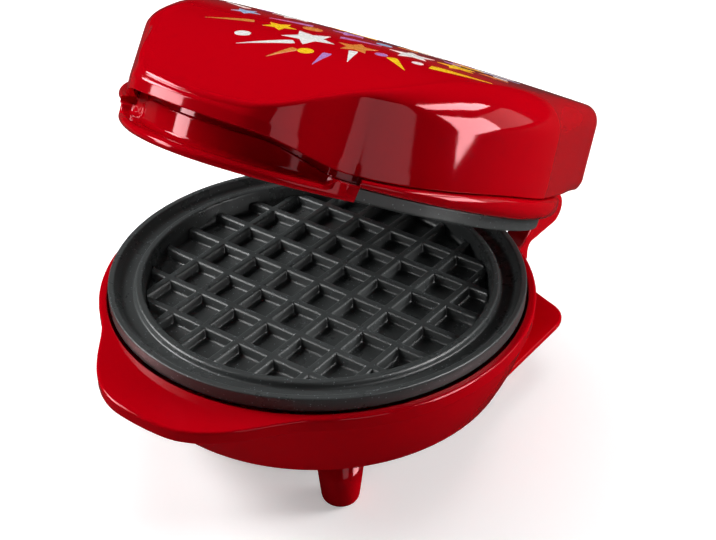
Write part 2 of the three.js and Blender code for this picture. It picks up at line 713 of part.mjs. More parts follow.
function frameSection(angle) {
  const turn = Math.abs(angle);
  const topZ = partingZ(angle) - clearance;
  const ceiling = topZ - frame.ceilingDrop;
  const beadRadius = cover.radius + frame.bead;
  const tabTop = frame.tabLowZ + frame.tabThickness;
  const pastTab = smoothstep(turn, frame.tabEndAngle, frame.tabEndAngle + frame.tabStep);
  const inBlock = smoothstep(turn, frame.recessEndAngle, frame.blockAngle);
  // The block's outer end is a quarter round in plan
  const along = clamp((turn - frame.blockAngle) / (frame.tabEndAngle - frame.blockAngle), 0, 1);
  const arch = tabEdgeAt(Math.min(turn, frame.tabEndAngle));
  const tabEdge = lerp(frame.tabRoot + 2 * frame.tabRound, arch, Math.sqrt(1 - along ** 2));
  const recess = Math.max(tabEdge - frame.recessDepth, frame.recessLeast);
  const beadAt = (highZ) => beadShares.map(([outShare, upShare]) => [
    lerp(frame.beadRoot, beadRadius, outShare), lerp(frame.lipZ, highZ, upShare),
  ]);
  const atNose = [
    [frame.tabRoot, frame.tabLowZ],
    [tabEdge - frame.tabRound, frame.tabLowZ],
    [tabEdge, frame.tabLowZ + frame.tabRound],
    [tabEdge, tabTop - frame.tabRound],
    [tabEdge - frame.tabRound, tabTop],
    [recess + frame.tabRound, tabTop],
    [recess, tabTop + frame.tabRound],
    [recess, ceiling],
  ];
  const atBlock = [
    ...atNose.slice(0, 4),
    ...beadAt(ceiling).slice(4).map(([radius, z]) => [Math.max(radius, tabEdge), z]),
  ];
  atBlock.push([atBlock[6][0] - frame.tabRound / 2, ceiling]);
  const overhang = coverOutline(angle) - footTuck(angle) - cover.wall - 2 * clearance;
  const beadTop = clamp(overhang, cover.radius + frame.beadTop, beadRadius - 2 * frame.beadTop);
  const atBead = [...beadAt(topZ), [beadTop, topZ - frame.groove]];
  const outer = mixPoints(mixPoints(atNose, atBlock, inBlock), atBead, pastTab);
  const ledgeZ = lerp(ceiling, topZ, pastTab);
  const noseTongue = Math.min(recess - frame.noseSetBack, overhang);
  const tongueOut = lerp(lerp(noseTongue, overhang, inBlock), overhang, pastTab);
  const tongueTop = topZ + clearance + lerp(frame.noseTongue, frame.tongue - clearance, inBlock);
  const tongueIn = tongueOut - frame.wall;
  const wallIn = Math.min(tongueIn, lerp(recess - frame.wall, coverInnerAtSide() - clearance, inBlock));
  const lipTop = frame.lipZ + frame.lipThickness;
  return [
    [frame.lipInner, frame.lipZ],
    [lerp(frame.tabRoot, outer[0][0] - frame.tabRound, pastTab), frame.lipZ],
    ...outer,
    [tongueOut, ledgeZ],
    [tongueOut, tongueTop],
    [tongueIn, tongueTop],
    [tongueIn, ledgeZ + frame.wall],
    [wallIn, ledgeZ + frame.wall - frame.tabRound / 2],
    [wallIn, lipTop],
    [frame.lipInner, lipTop],
  ];
}

function hingeKnuckle(fromX, toX) {
  const shape = new THREE.Shape();
  shape.moveTo(hinge.y - knuckle.stemFrontGap, knuckle.stemTopZ);
  shape.lineTo(hinge.y - knuckle.stemFrontGap, frame.lipZ);
  shape.absarc(hinge.y, hinge.z, knuckle.radius, Math.PI, 0, false);
  shape.lineTo(hinge.y - knuckle.neckGap, knuckle.neckZ);
  shape.lineTo(hinge.y - knuckle.stemRearGap, knuckle.stemTopZ);
  shape.closePath();
  return extrudeAlongX(shape, fromX, toX);
}

function lidFrame() {
  const lipTop = frame.lipZ + frame.lipThickness;
  const through = (radius) => rod(radius, frame.lipZ - cutOverrun, lipTop + cutOverrun, sides.screw);
  const headRoom = rod(
    smallScrew.head + clearance, frame.lipZ - cutOverrun, frame.lipZ + smallScrew.headHeight + clearance,
    sides.screw,
  );
  return combine(
    loftAround(lidAngles, frameSection, true),
    [hingeKnuckle(knuckle.inner, knuckle.outer), hingeKnuckle(-knuckle.outer, -knuckle.inner)],
    [
      crossRod(knuckle.bore, -knuckle.outer - cutOverrun, -knuckle.inner + cutOverrun),
      crossRod(knuckle.bore, knuckle.inner - cutOverrun, knuckle.outer + cutOverrun),
      ...aroundRing(through(smallScrew.shank + clearance), plateScrewRing, plateScrewAngles),
      ...aroundRing(through(smallScrew.shank + clearance), coverBoss.ring, mirrored(coverBoss.angles)),
      ...aroundRing(headRoom, coverBoss.ring, mirrored(coverBoss.angles)),
    ],
  );
}

// Heating

// A horseshoe of tubular element, its open side to the rear, with two terminal pins
function heatingElement(centreZ, pinDirection) {
  const points = [];
  for (let i = 0; i <= heater.steps; i += 1) {
    const angle = degToRad(heater.gapAngle - 180 + (i / heater.steps) * (360 - 2 * heater.gapAngle));
    points.push([heater.ring * Math.sin(angle), -heater.ring * Math.cos(angle), centreZ]);
  }
  const horseshoe = tube(points, heater.tube, heater.steps);
  const tipZ = centreZ + pinDirection * (heater.tube + heater.pinLength);
  const terminal = rod(heater.pinRadius, Math.min(centreZ, tipZ), Math.max(centreZ, tipZ));
  return combine(horseshoe, aroundRing(terminal, heater.ring, elementPinAngles), []);
}

// A pressed sheet pan behind an element; rise is +1 when its wall stands upwards
function reflectorPan(radius, floorZ, wallZ, eyeRadius) {
  const rise = Math.sign(wallZ - floorZ);
  const sheet = pan.sheet * rise;
  return lathe([
    [eyeRadius, floorZ],
    [radius - 2 * pan.sheet, floorZ],
    [radius, floorZ + 2 * sheet],
    [radius, wallZ],
    [radius - pan.sheet, wallZ],
    [radius - pan.sheet, floorZ + 2 * sheet],
    [radius - pan.innerBend, floorZ + sheet],
    [eyeRadius, floorZ + sheet],
    [eyeRadius, floorZ],
  ], sides.pan);
}

const elementPinAngles = [180 - heater.pinAngle, 180 + heater.pinAngle];
const lowerUnder = -lowerPlate.wellDepth - lowerPlate.web;
const lowerElementZ = lowerUnder - clearance - heater.tube;
const lowerPanZ = lowerElementZ - heater.tube - clearance - pan.sheet;
const upperElementZ = upperPlate.topHeight + clearance + heater.tube;
const upperPanZ = upperElementZ + heater.tube + clearance + pan.sheet;

function elementPinHoles(lowZ, highZ) {
  const hole = rod(heater.pinRadius + 2 * clearance, lowZ, highZ);
  return aroundRing(hole, heater.ring, elementPinAngles);
}

function lowerHeatShield() {
  const dish = reflectorPan(pan.radius, lowerPanZ, lowerUnder - clearance, pan.eye);
  const holes = elementPinHoles(lowerPanZ - cutOverrun, lowerPanZ + pan.sheet + cutOverrun);
  return combine(dish, [], holes);
}

function upperHeatShield() {
  const wallZ = upperPlate.topHeight + clearance;
  const dish = reflectorPan(pan.upperRadius, upperPanZ, wallZ, thermostat.capRadius);
  return combine(dish, [], elementPinHoles(upperPanZ - pan.sheet - cutOverrun, upperPanZ + cutOverrun));
}

function thermostatBody() {
  const topZ = lowerUnder - clearance;
  const lowZ = topZ - thermostat.height;
  return lathe([
    [0, lowZ], [thermostat.radius, lowZ], [thermostat.radius, topZ - thermostat.capHeight],
    [thermostat.capRadius, topZ - thermostat.capHeight], [thermostat.capRadius, topZ], [0, topZ],
  ], sides.cap);
}

// A hat-shaped strap that holds the thermostat up against the plate
function thermostatStrap() {
  const seatZ = lowerUnder - clearance - thermostat.height - clearance;
  const footZ = lowerPanZ - clearance;
  const s = strap.sheet;
  const shape = new THREE.Shape();
  const bend = strap.bend;
  shape.moveTo(-strap.halfLength, footZ);
  shape.lineTo(-bend, footZ);
  shape.lineTo(-bend + s, seatZ);
  shape.lineTo(bend - s, seatZ);
  shape.lineTo(bend, footZ);
  shape.lineTo(strap.halfLength, footZ);
  shape.lineTo(strap.halfLength, footZ - s);
  shape.lineTo(bend - s / 2, footZ - s);
  shape.lineTo(bend - 1.5 * s, seatZ - s);
  shape.lineTo(-bend + 1.5 * s, seatZ - s);
  shape.lineTo(-bend + s / 2, footZ - s);
  shape.lineTo(-strap.halfLength, footZ - s);
  shape.closePath();
  const geometry = new THREE.ExtrudeGeometry(shape, { depth: strap.width, bevelEnabled: false });
  geometry.translate(0, 0, -strap.width / 2);
  geometry.rotateX(Math.PI / 2);
  return geometry;
}

function thermalFuse() {
  const geometry = new THREE.CylinderGeometry(fuse.radius, fuse.radius, fuse.length, sides.small);
  geometry.translate(fuse.x, fuse.y, lowerPanZ - clearance - fuse.radius);
  return geometry;
}

function terminalBlock() {
  const lowZ = bowl.bottomZ + bowl.floor + clearance;
  const body = new THREE.BoxGeometry(block.length, block.depth, block.height);
  body.translate(0, block.y, lowZ + block.height / 2);
  const bores = Array.from({ length: block.bores }, (_, i) => {
    const bore = new THREE.CylinderGeometry(block.bore, block.bore, block.depth + cutOverrun, sides.screw);
    const x = (i - (block.bores - 1) / 2) * block.pitch;
    bore.translate(x, block.y, lowZ + block.height / 2);
    return bore;
  });
  return combine(body, [], bores);
}

function cordInletBush() {
  const faceY = bowlRadius(bush.z) - bush.seat + clearance;
  const wallIn = bowlRadius(bush.z) - bowl.wall;
  const geometry = lathe([
    [bush.bore, wallIn - bush.tail],
    [bush.neck, wallIn - bush.tail],
    [bush.neck, faceY],
    [bush.flange, faceY],
    [bush.flange, faceY + bush.flangeThickness / 2],
    [bush.flange - bush.flangeThickness / 2, faceY + bush.flangeThickness],
    [bush.bore + bush.flangeThickness / 4, faceY + bush.flangeThickness],
    [bush.bore, faceY + bush.flangeThickness / 2],
    [bush.bore, wallIn - bush.tail],
  ], sides.bush);
  geometry.rotateX(-Math.PI / 2);
  geometry.translate(0, 0, bush.z);
  return geometry;
}

function elementPin(side) {
  const angle = degToRad(180 - side * heater.pinAngle);
  return [heater.ring * Math.sin(angle), -heater.ring * Math.cos(angle)];
}

function leadBetween(from, to, bow) {
  const middle = from.map((value, i) => (value + to[i]) / 2);
  middle[2] += bow;
  return tube([from, middle, to], lead.radius, lead.steps);
}

function baseLead(side) {
  const [x, y] = elementPin(side);
  const blockZ = bowl.bottomZ + bowl.floor + clearance + block.height / 2;
  const blockFront = block.y - block.depth / 2 - clearance;
  const pinTip = lowerElementZ - heater.tube - heater.pinLength - clearance;
  const blockEnd = [side * block.pitch, blockFront, blockZ];
  return leadBetween(blockEnd, [x, y + lead.radius, pinTip - lead.radius], lead.radius);
}

function lidLead(side) {
  const [x, y] = elementPin(side);
  const pinTip = upperElementZ + heater.tube + heater.pinLength + clearance;
  const tail = [side * lead.spread, lead.tailY, lead.tailZ];
  return leadBetween([x, y + lead.radius, pinTip + lead.radius], tail, lead.sag);
}

function hingePin(side) {
  const near = knuckle.inner + pin.inset;
  const far = ear.outer - pin.inset - clearance;
  return side > 0 ? crossRod(pin.radius, near, far) : crossRod(pin.radius, -far, -near);
}

// Assembly

function part(name, geometry, look) {
  const mesh = new THREE.Mesh(geometry, new THREE.MeshStandardMaterial(finish[look]));
  mesh.name = name;
  return mesh;
}

// Identical fasteners: one named piece for each place on the ring
function fasteners(name, geometry, ring, angles) {
  return aroundRing(geometry, ring, angles).map((copy, i) => part(`${name}_${i + 1}`, copy, 'steel'));
}

const baseParts = [
  part('base_housing', baseHousing(), 'red'),
  part('bottom_cover', bottomCover(), 'black'),
  ...fasteners('bottom_cover_screw', bottomCoverScrew(), boss.ring, bossAngles),
  part('lower_plate', lowerPlateCasting(), 'nonStick'),
  ...fasteners('lower_plate_screw', lowerPlateScrew(), post.ring, postAngles),
  part('lower_heating_element', heatingElement(lowerElementZ, -1), 'element'),
  part('lower_heat_shield', lowerHeatShield(), 'steel'),
  part('thermostat', thermostatBody(), 'cream'),
  part('thermostat_strap', thermostatStrap(), 'steel'),
  part('thermal_fuse', thermalFuse(), 'steel'),
  part('terminal_block', terminalBlock(), 'cream'),
  part('cord_inlet_bush', cordInletBush(), 'black'),
  part('base_lead_left', baseLead(-1), 'lead'),
  part('base_lead_right', baseLead(1), 'lead'),
  part('hinge_pin_left', hingePin(-1), 'steel'),
  part('hinge_pin_right', hingePin(1), 'steel'),
];

const lidParts = [
  part('lid_cover', lidCover(), 'red'),
  part('lid_frame', lidFrame(), 'red'),
  ...fasteners('lid_cover_screw', lidCoverScrew(), coverBoss.ring, mirrored(coverBoss.angles)),
  part('upper_plate', upperPlateCasting(), 'nonStick'),
  ...fasteners('upper_plate_screw', upperPlateScrew(), plateScrewRing, plateScrewAngles),
  part('upper_heating_element', heatingElement(upperElementZ, 1), 'element'),
  part('upper_heat_shield', upperHeatShield(), 'steel'),
  part('lid_lead_left', lidLead(-1), 'lead'),
  part('lid_lead_right', lidLead(1), 'lead'),
];

const baseGroup = new THREE.Group();
baseGroup.add(...baseParts);

// The lid is drawn shut, then turned open about the hinge axis
const lidShut = new THREE.Group();
lidShut.position.set(0, -hinge.y, -hinge.z);
lidShut.add(...lidParts);
const lidTurned = new THREE.Group();
lidTurned.position.set(0, hinge.y, hinge.z);
lidTurned.rotation.x = -openAngle;
lidTurned.add(lidShut);

const wafflemaker = new THREE.Group();
wafflemaker.add(baseGroup, lidTurned);
wafflemaker.position.z = rimHeight;

// The origin lies on the table, under the middle of the object's outline
wafflemaker.updateMatrixWorld(true);
const middle = new THREE.Box3().setFromObject(wafflemaker, true).getCenter(new THREE.Vector3());
wafflemaker.position.x -= middle.x;
wafflemaker.position.y -= middle.y;

export default wafflemaker;
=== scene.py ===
# %% [markdown]
# # A mini waffle maker
# This lesson dresses a small round waffle maker: a footed red bowl, two dark non-stick
# plates and a red lid that stands part open on a hinge. The engineering model comes first
# and stays as the fixed frame, and every surface made here sits exactly on it.

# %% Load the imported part
import json

import bmesh
import bpy
import numpy as np
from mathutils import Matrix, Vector


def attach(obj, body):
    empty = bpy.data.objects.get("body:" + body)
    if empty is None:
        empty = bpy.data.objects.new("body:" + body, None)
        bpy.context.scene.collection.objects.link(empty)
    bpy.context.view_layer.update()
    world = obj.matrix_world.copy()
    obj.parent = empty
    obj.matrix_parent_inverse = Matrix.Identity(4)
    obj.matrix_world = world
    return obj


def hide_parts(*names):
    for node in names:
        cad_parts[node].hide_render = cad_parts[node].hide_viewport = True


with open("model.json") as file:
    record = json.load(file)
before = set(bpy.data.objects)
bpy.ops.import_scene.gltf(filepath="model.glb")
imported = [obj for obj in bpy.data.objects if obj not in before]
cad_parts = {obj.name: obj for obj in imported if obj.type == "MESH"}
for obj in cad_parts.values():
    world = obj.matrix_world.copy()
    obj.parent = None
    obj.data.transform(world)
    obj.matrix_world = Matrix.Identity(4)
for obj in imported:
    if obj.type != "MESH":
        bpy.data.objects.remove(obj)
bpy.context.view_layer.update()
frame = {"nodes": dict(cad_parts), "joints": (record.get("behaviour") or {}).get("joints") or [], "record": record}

print("nodes in the frame:", len(frame["nodes"]))

# %% [markdown]
# ## Millimetres on a drawing, metres in the scene
# The shapes below are drawn in millimetres about the plates' axis, with height measured
# from the lower plate's rim and the lid shut. The hinge joint tells where that drawing
# lies in the frame. Lid points are then turned up about the hinge line, so that one set of
# formulas serves a lid that is easiest to think of as closed.

# %% From the drawing to the frame
MM = 0.001
HINGE_Y, HINGE_Z = 76.0, -3.3
OPEN = np.radians(27)
hinge_row = np.array(frame["joints"][0]["pos_m"]) / MM
SHIFT = hinge_row - [0, HINGE_Y, HINGE_Z]
TABLE_Z = -SHIFT[2]


def to_row(points, lid=False):
    """Drawing millimetres to frame metres: p' = p + shift. A lid point first turns about the
    hinge line by 27 degrees: y' = y cos a + z sin a and z' = z cos a - y sin a."""
    p = np.array(points, float)
    if lid:
        y, z = p[..., 1] - HINGE_Y, p[..., 2] - HINGE_Z
        turned_y = HINGE_Y + y * np.cos(OPEN) + z * np.sin(OPEN)
        turned_z = HINGE_Z + z * np.cos(OPEN) - y * np.sin(OPEN)
        p = np.stack([p[..., 0], turned_y, turned_z], -1)
    return (p + SHIFT) * MM


print("the table lies", round(-TABLE_Z, 2), "mm under the plate's rim")

# %% [markdown]
# ## The camera
# The photograph's ellipses give the view: the camera looks from the front right, 36 degrees
# round and 33 degrees up, through a lens of about 68 mm on a 36 mm wide frame.

# %% Camera
scene = bpy.context.scene
SENSOR, LENS = 36, 67.83
CAMERA_AT, CAMERA_AIM = (234.0, -299.21, 249.1), (-0.4910, 0.6759, -0.5497)
camera_data = bpy.data.cameras.new("camera")
camera_data.sensor_width = SENSOR
camera_data.lens = LENS
camera = bpy.data.objects.new("camera", camera_data)
scene.collection.objects.link(camera)
camera.location = to_row(CAMERA_AT)
camera.rotation_mode = "QUATERNION"
camera.rotation_quaternion = Vector(CAMERA_AIM).to_track_quat("-Z", "Y")
scene.camera = camera
print("the camera stands", round(camera.location.length, 3), "m from the frame's origin")

# %% [markdown]
# ## Small helpers for curves
# Moulded plastic has no sharp corners. Each outline is therefore drawn with straight edges
# and then softened: every corner becomes a short curve, with a holding row beside it that
# keeps the flat next to it flat when the shading is smooth.


# %% Smooth steps, mixes and softened corners
def smoothstep(x, low, high):
    """t = (x - low) / (high - low), held between 0 and 1, then 3t^2 - 2t^3."""
    t = np.clip((x - low) / (high - low), 0, 1)
    return t * t * (3 - 2 * t)


def mix(a, b, t):
    """a + (b - a) t."""
    return a + (b - a) * t


MOST_OF_EDGE, HOLD = 0.4, 1.2


def soften(outline, radii, closed=True, steps=5):
    """Rounds corners of outlines held as (..., rows, 2). A corner P1 becomes the quadratic
    curve (1-t)^2 P0 + 2t(1-t) P1 + t^2 P2, where P0 and P2 lie a radius away along its two
    edges, or 0.4 of the shorter edge if that is less. One more row on each side, 1.2 times
    as far away, holds the flats. A radius of 0 keeps the corner."""
    rows = outline.shape[-2]
    pieces = []
    t = np.linspace(0, 1, steps + 1)[:, None]
    for i in range(rows):
        here = outline[..., i, :]
        ends = not closed and i in (0, rows - 1)
        if ends or radii[i] == 0:
            pieces.append(here[..., None, :])
            continue
        back = outline[..., i - 1, :] - here
        on = outline[..., (i + 1) % rows, :] - here
        back_length = np.linalg.norm(back, axis=-1, keepdims=True)
        on_length = np.linalg.norm(on, axis=-1, keepdims=True)
        reach = np.minimum(radii[i], MOST_OF_EDGE * np.minimum(back_length, on_length))
        back, on = back / np.maximum(back_length, 1e-6), on / np.maximum(on_length, 1e-6)
        start, end = (here + back * reach)[..., None, :], (here + on * reach)[..., None, :]
        curve = (1 - t) ** 2 * start + 2 * t * (1 - t) * here[..., None, :] + t**2 * end
        hold_back = (here + back * reach * HOLD)[..., None, :]
        hold_on = (here + on * reach * HOLD)[..., None, :]
        pieces += [hold_back, curve, hold_on]
    return np.concatenate(pieces, axis=-2)


print("smoothstep at a third is", smoothstep(1, 0, 3))

# %% [markdown]
# ## From a grid of points to a mesh
# A surface is a grid: one direction runs round the object and the other along the outline.
# The grid becomes quads at once, poles are welded shut, and the normals are turned
# outwards.

# %% Grid to mesh
WELD = 2e-6


def quads_of(grid_shape, close_u, close_v, first=0):
    """Corner numbers of the quads between neighbouring rows u and columns v of a grid."""
    corner = first + np.arange(grid_shape[0] * grid_shape[1]).reshape(grid_shape[:2])
    here, over = (corner, np.roll(corner, -1, 0)) if close_u else (corner[:-1], corner[1:])
    if close_v:
        a, b, c, d = here, over, np.roll(over, -1, 1), np.roll(here, -1, 1)
    else:
        a, b, c, d = here[:, :-1], over[:, :-1], over[:, 1:], here[:, 1:]
    return np.stack([a, b, c, d], -1).reshape(-1, 4)


def mesh_of(name, parts, lid):
    """One mesh, in frame metres, from grids (points, close_u, close_v) or from (points, quads)."""
    coords, quads, first = [], [], 0
    for points, *joined in parts:
        coords.append(to_row(points, lid).reshape(-1, 3))
        quads.append(joined[0] + first if len(joined) == 1 else quads_of(points.shape, *joined, first))
        first += len(coords[-1])
    coords, quads = np.concatenate(coords), np.concatenate(quads)
    mesh = bpy.data.meshes.new(name)
    mesh.from_pydata(coords.tolist(), [], quads.tolist())
    shell = bmesh.new()
    shell.from_mesh(mesh)
    bmesh.ops.remove_doubles(shell, verts=shell.verts, dist=WELD)
    bmesh.ops.recalc_face_normals(shell, faces=shell.faces)
    shell.to_mesh(mesh)
    shell.free()
    mesh.shade_smooth()
    return mesh


print("a grid of 3 by 4 points has", len(quads_of((3, 4), False, False)), "quads")

# %% [markdown]
# ## From a mesh to a piece
# A finished mesh takes the finish of its material slot, rides on its body and stands for its
# engineering node. Most surfaces are a section carried round an upright axis, as on a lathe,
# though the section may change on its way round.


def piece(name, parts, slot, body, *replaces, material=None):
    """Makes the object, gives it its finish, lets it ride, and hides the engineering parts it stands for."""
    mesh = mesh_of(name, parts, body == "lid")
    mesh.materials.append(material or finish_of_slot[slot])
    shown = bpy.data.objects.new(name, mesh)
    scene.collection.objects.link(shown)
    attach(shown, body)
    if replaces:
        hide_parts(*replaces)
    print(name, len(mesh.polygons), "faces")


# %% Sections round an axis
def section_of(rows, count):
    """Sections (angle, row, [radius, z]) from rows (radius, z). Each value is one number, or
    one for every angle."""
    spread = [[np.broadcast_to(value, count) for value in row] for row in rows]
    return np.array(spread, float).transpose(2, 0, 1)


def around(section, degrees, axis=(0, 0)):
    """Carries sections (angle, rows, [radius, z]) round an upright axis, the angle counted
    from the front: x = r sin a, y = -r cos a."""
    turn = np.radians(degrees)[:, None]
    radius, z = section[..., 0], section[..., 1]
    return np.stack([axis[0] + radius * np.sin(turn), axis[1] - radius * np.cos(turn), z], -1)


def turned(outline, count, axis=(0, 0)):
    """The same outline at every angle, as on a lathe."""
    degrees = np.arange(count) * 360 / count
    return around(np.repeat(np.asarray(outline, float)[None], count, 0), degrees, axis)


print("a turned line of 2 points has the grid", turned([[1, 0], [1, 2]], 8).shape)

# %% [markdown]
# ## Shared effects: a wavy skin and a coating's grain
# Even a polished moulding is not a mirror: its skin sinks and swells a little, and dust lies
# on it. A coating has pebbles, pale flecks and stains. Two node groups hold these effects, so
# that each finish places them with its own numbers.


# %% Node helpers
def new_group(name, inputs, outputs):
    """An empty shader node group with float inputs {name: default} and named outputs."""
    group = bpy.data.node_groups.new(name, "ShaderNodeTree")
    for label, value in inputs.items():
        socket = group.interface.new_socket(label, in_out="INPUT", socket_type="NodeSocketFloat")
        socket.default_value = value
    for label in outputs:
        group.interface.new_socket(label, in_out="OUTPUT", socket_type="NodeSocketFloat")
    return group, group.nodes.new("NodeGroupInput"), group.nodes.new("NodeGroupOutput")


def add(tree, kind, **settings):
    """One node with its settings: attributes, or input values with _ for each space."""
    node = tree.nodes.new(kind)
    for label, value in settings.items():
        if hasattr(node, label):
            setattr(node, label, value)
        else:
            node.inputs[label.replace("_", " ")].default_value = value
    return node


def math_node(tree, operation, a, b):
    """A Math node between two sockets."""
    node = add(tree, "ShaderNodeMath", operation=operation)
    tree.links.new(a, node.inputs[0])
    tree.links.new(b, node.inputs[1])
    return node.outputs[0]


def map_range(tree, value, low, high, to_low, to_high, steps="SMOOTHSTEP"):
    """Moves a value from one range to another, eased at both ends if steps is left alone."""
    node = add(
        tree, "ShaderNodeMapRange", interpolation_type=steps,
        From_Min=low, From_Max=high, To_Min=to_low, To_Max=to_high,
    )
    tree.links.new(value, node.inputs["Value"])
    return node.outputs["Result"]


# %% Moulding skin
moulding, moulding_in, moulding_out = new_group(
    "moulding_skin", {"Wave Scale": 60, "Ripple Scale": 900, "Ripple": 0.06}, ["Height", "Dust"]
)
place, join = moulding.nodes.new("ShaderNodeTexCoord"), moulding.links.new
wave = add(moulding, "ShaderNodeTexNoise", Detail=2.0, Roughness=0.45)
ripple = add(moulding, "ShaderNodeTexNoise", Detail=3.0, Roughness=0.6)
dust = add(moulding, "ShaderNodeTexNoise", Scale=260.0, Detail=6.0, Roughness=0.75)
for texture in (wave, ripple, dust):
    join(place.outputs["Object"], texture.inputs["Vector"])
join(moulding_in.outputs["Wave Scale"], wave.inputs["Scale"])
join(moulding_in.outputs["Ripple Scale"], ripple.inputs["Scale"])
fine = math_node(moulding, "MULTIPLY", ripple.outputs["Fac"], moulding_in.outputs["Ripple"])
join(math_node(moulding, "ADD", wave.outputs["Fac"], fine), moulding_out.inputs["Height"])
join(map_range(moulding, dust.outputs["Fac"], 0.5, 0.78, 0, 1), moulding_out.inputs["Dust"])
print("node group", moulding.name, "has", len(moulding.nodes), "nodes")

# %% Coating grain
sparkle, sparkle_in, sparkle_out = new_group(
    "coating_grain", {"Grain Scale": 2600, "Fleck Scale": 1500, "Fleck Share": 0.1},
    ["Height", "Fleck", "Stain"],
)
place, join = sparkle.nodes.new("ShaderNodeTexCoord"), sparkle.links.new
grain = add(sparkle, "ShaderNodeTexNoise", Detail=4.0, Roughness=0.7)
fleck = add(sparkle, "ShaderNodeTexVoronoi", feature="F1")
stain = add(sparkle, "ShaderNodeTexNoise", Scale=42.0, Detail=5.0, Roughness=0.6)
for texture in (grain, fleck, stain):
    join(place.outputs["Object"], texture.inputs["Vector"])
join(sparkle_in.outputs["Grain Scale"], grain.inputs["Scale"])
join(sparkle_in.outputs["Fleck Scale"], fleck.inputs["Scale"])
split = sparkle.nodes.new("ShaderNodeSeparateColor")
join(fleck.outputs["Color"], split.inputs["Color"])
chosen = math_node(sparkle, "LESS_THAN", split.outputs["Red"], sparkle_in.outputs["Fleck Share"])
near = map_range(sparkle, fleck.outputs["Distance"], 0.1, 0.4, 1, 0)
join(math_node(sparkle, "MULTIPLY", chosen, near), sparkle_out.inputs["Fleck"])
join(grain.outputs["Fac"], sparkle_out.inputs["Height"])
join(stain.outputs["Fac"], sparkle_out.inputs["Stain"])
print("node group", sparkle.name, "has", len(sparkle.nodes), "nodes")

# %% [markdown]
# ## Finishes
# Colours are written as the eye reads them on the object, so a small function turns them
# into the linear values that a shader wants. Each finish is one Principled shader whose
# colour, roughness and normal change a little over the surface.


# %% Colour helper and the base of each finish
def linear(red, green, blue):
    """Display colour 0-255 to linear light: ((c + 0.055) / 1.055)^2.4, or c / 12.92."""
    c = np.array([red, green, blue]) / 255
    return (*np.where(c <= 0.04045, c / 12.92, ((c + 0.055) / 1.055) ** 2.4), 1.0)


def start_finish(name, **settings):
    """A material with a Principled shader and the plain numbers set on its own sockets."""
    material = bpy.data.materials.new(name)
    material.use_nodes = True
    tree = material.node_tree
    shader = tree.nodes["Principled BSDF"]
    for label, value in settings.items():
        shader.inputs[label.replace("_", " ")].default_value = value
    return material, tree, shader


def mix_colours(tree, factor, low, high):
    """A Mix node between two colours, steered by a mask."""
    node = add(tree, "ShaderNodeMix", data_type="RGBA")
    tree.links.new(factor, node.inputs["Factor"])
    for socket, value in (("A", low), ("B", high)):
        target = [s for s in node.inputs if s.name == socket and s.type == "RGBA"][0]
        if isinstance(value, tuple):
            target.default_value = value
        else:
            tree.links.new(value, target)
    return [s for s in node.outputs if s.type == "RGBA"][0]


def dress(tree, shader, tone, rough, height, strength, distance):
    """Links colour and roughness, and a normal bumped by a height over a distance in metres."""
    bump = add(tree, "ShaderNodeBump", Strength=strength, Distance=distance)
    tree.links.new(height, bump.inputs["Height"])
    tree.links.new(tone, shader.inputs["Base Color"])
    tree.links.new(rough, shader.inputs["Roughness"])
    tree.links.new(bump.outputs["Normal"], shader.inputs["Normal"])


print("grey 128 is", round(float(linear(128, 128, 128)[0]), 3), "in linear light")

# %% [markdown]
# ## Glossy red plastic
# Housing and lid are one deep red moulding, polished in the tool. The pigment hardly varies,
# so dust and the wavy skin do the work: the waves bend each mirrored window a little, and
# dust dulls the gloss in patches.

# %% Glossy red moulding
RED_GLEAM, POLISHED, DUSTY = (1.0, 0.42, 0.46, 1.0), 0.06, 0.14
red_plastic, tree, shader = start_finish("glossy_red_plastic", IOR=1.5, Specular_Tint=RED_GLEAM)
skin = add(tree, "ShaderNodeGroup", node_tree=moulding, Wave_Scale=70, Ripple_Scale=1100, Ripple=0.05)
tone = mix_colours(tree, skin.outputs["Dust"], linear(190, 0, 16), linear(182, 2, 19))
rough = map_range(tree, skin.outputs["Dust"], 0, 1, POLISHED, DUSTY, "LINEAR")
dress(tree, shader, tone, rough, skin.outputs["Height"], 0.35, 0.00018)
print(red_plastic.name, "has", len(tree.nodes), "nodes")

# %% [markdown]
# ## Dark non-stick coating
# Both plates are cast metal under a charcoal coating. It is a paint and not bare metal, so
# the shader is not metallic: a pebbled normal scatters the gloss, and pale flecks sparkle.

# %% Dark non-stick coating
CHARCOAL, FLECK_PALE = linear(74, 77, 77), linear(150, 156, 162)
STAIN_SHARE, COAT_ROUGH, STAIN_ROUGH = 0.82, 0.26, 0.08
non_stick, tree, shader = start_finish("non_stick_coating", Metallic=0.0)
skin = add(tree, "ShaderNodeGroup", node_tree=sparkle)
stained = tuple(STAIN_SHARE * c for c in CHARCOAL[:3]) + (1.0,)
base = mix_colours(tree, skin.outputs["Stain"], CHARCOAL, stained)
tone = mix_colours(tree, skin.outputs["Fleck"], base, FLECK_PALE)
rough = map_range(tree, skin.outputs["Stain"], 0.3, 0.7, COAT_ROUGH, COAT_ROUGH + STAIN_ROUGH)
dress(tree, shader, tone, rough, skin.outputs["Height"], 0.5, 0.00012)
print(non_stick.name, "has", len(tree.nodes), "nodes")

# %% [markdown]
# ## Quiet finishes for the fittings
# Pins, screws, ceramic blocks and leads show little, so one recipe serves them all: two near
# tones that change over a noise, and a roughness that follows it.

# %% Metal, ceramic, black plastic and sleeved leads
WORN_ROUGH = 0.12


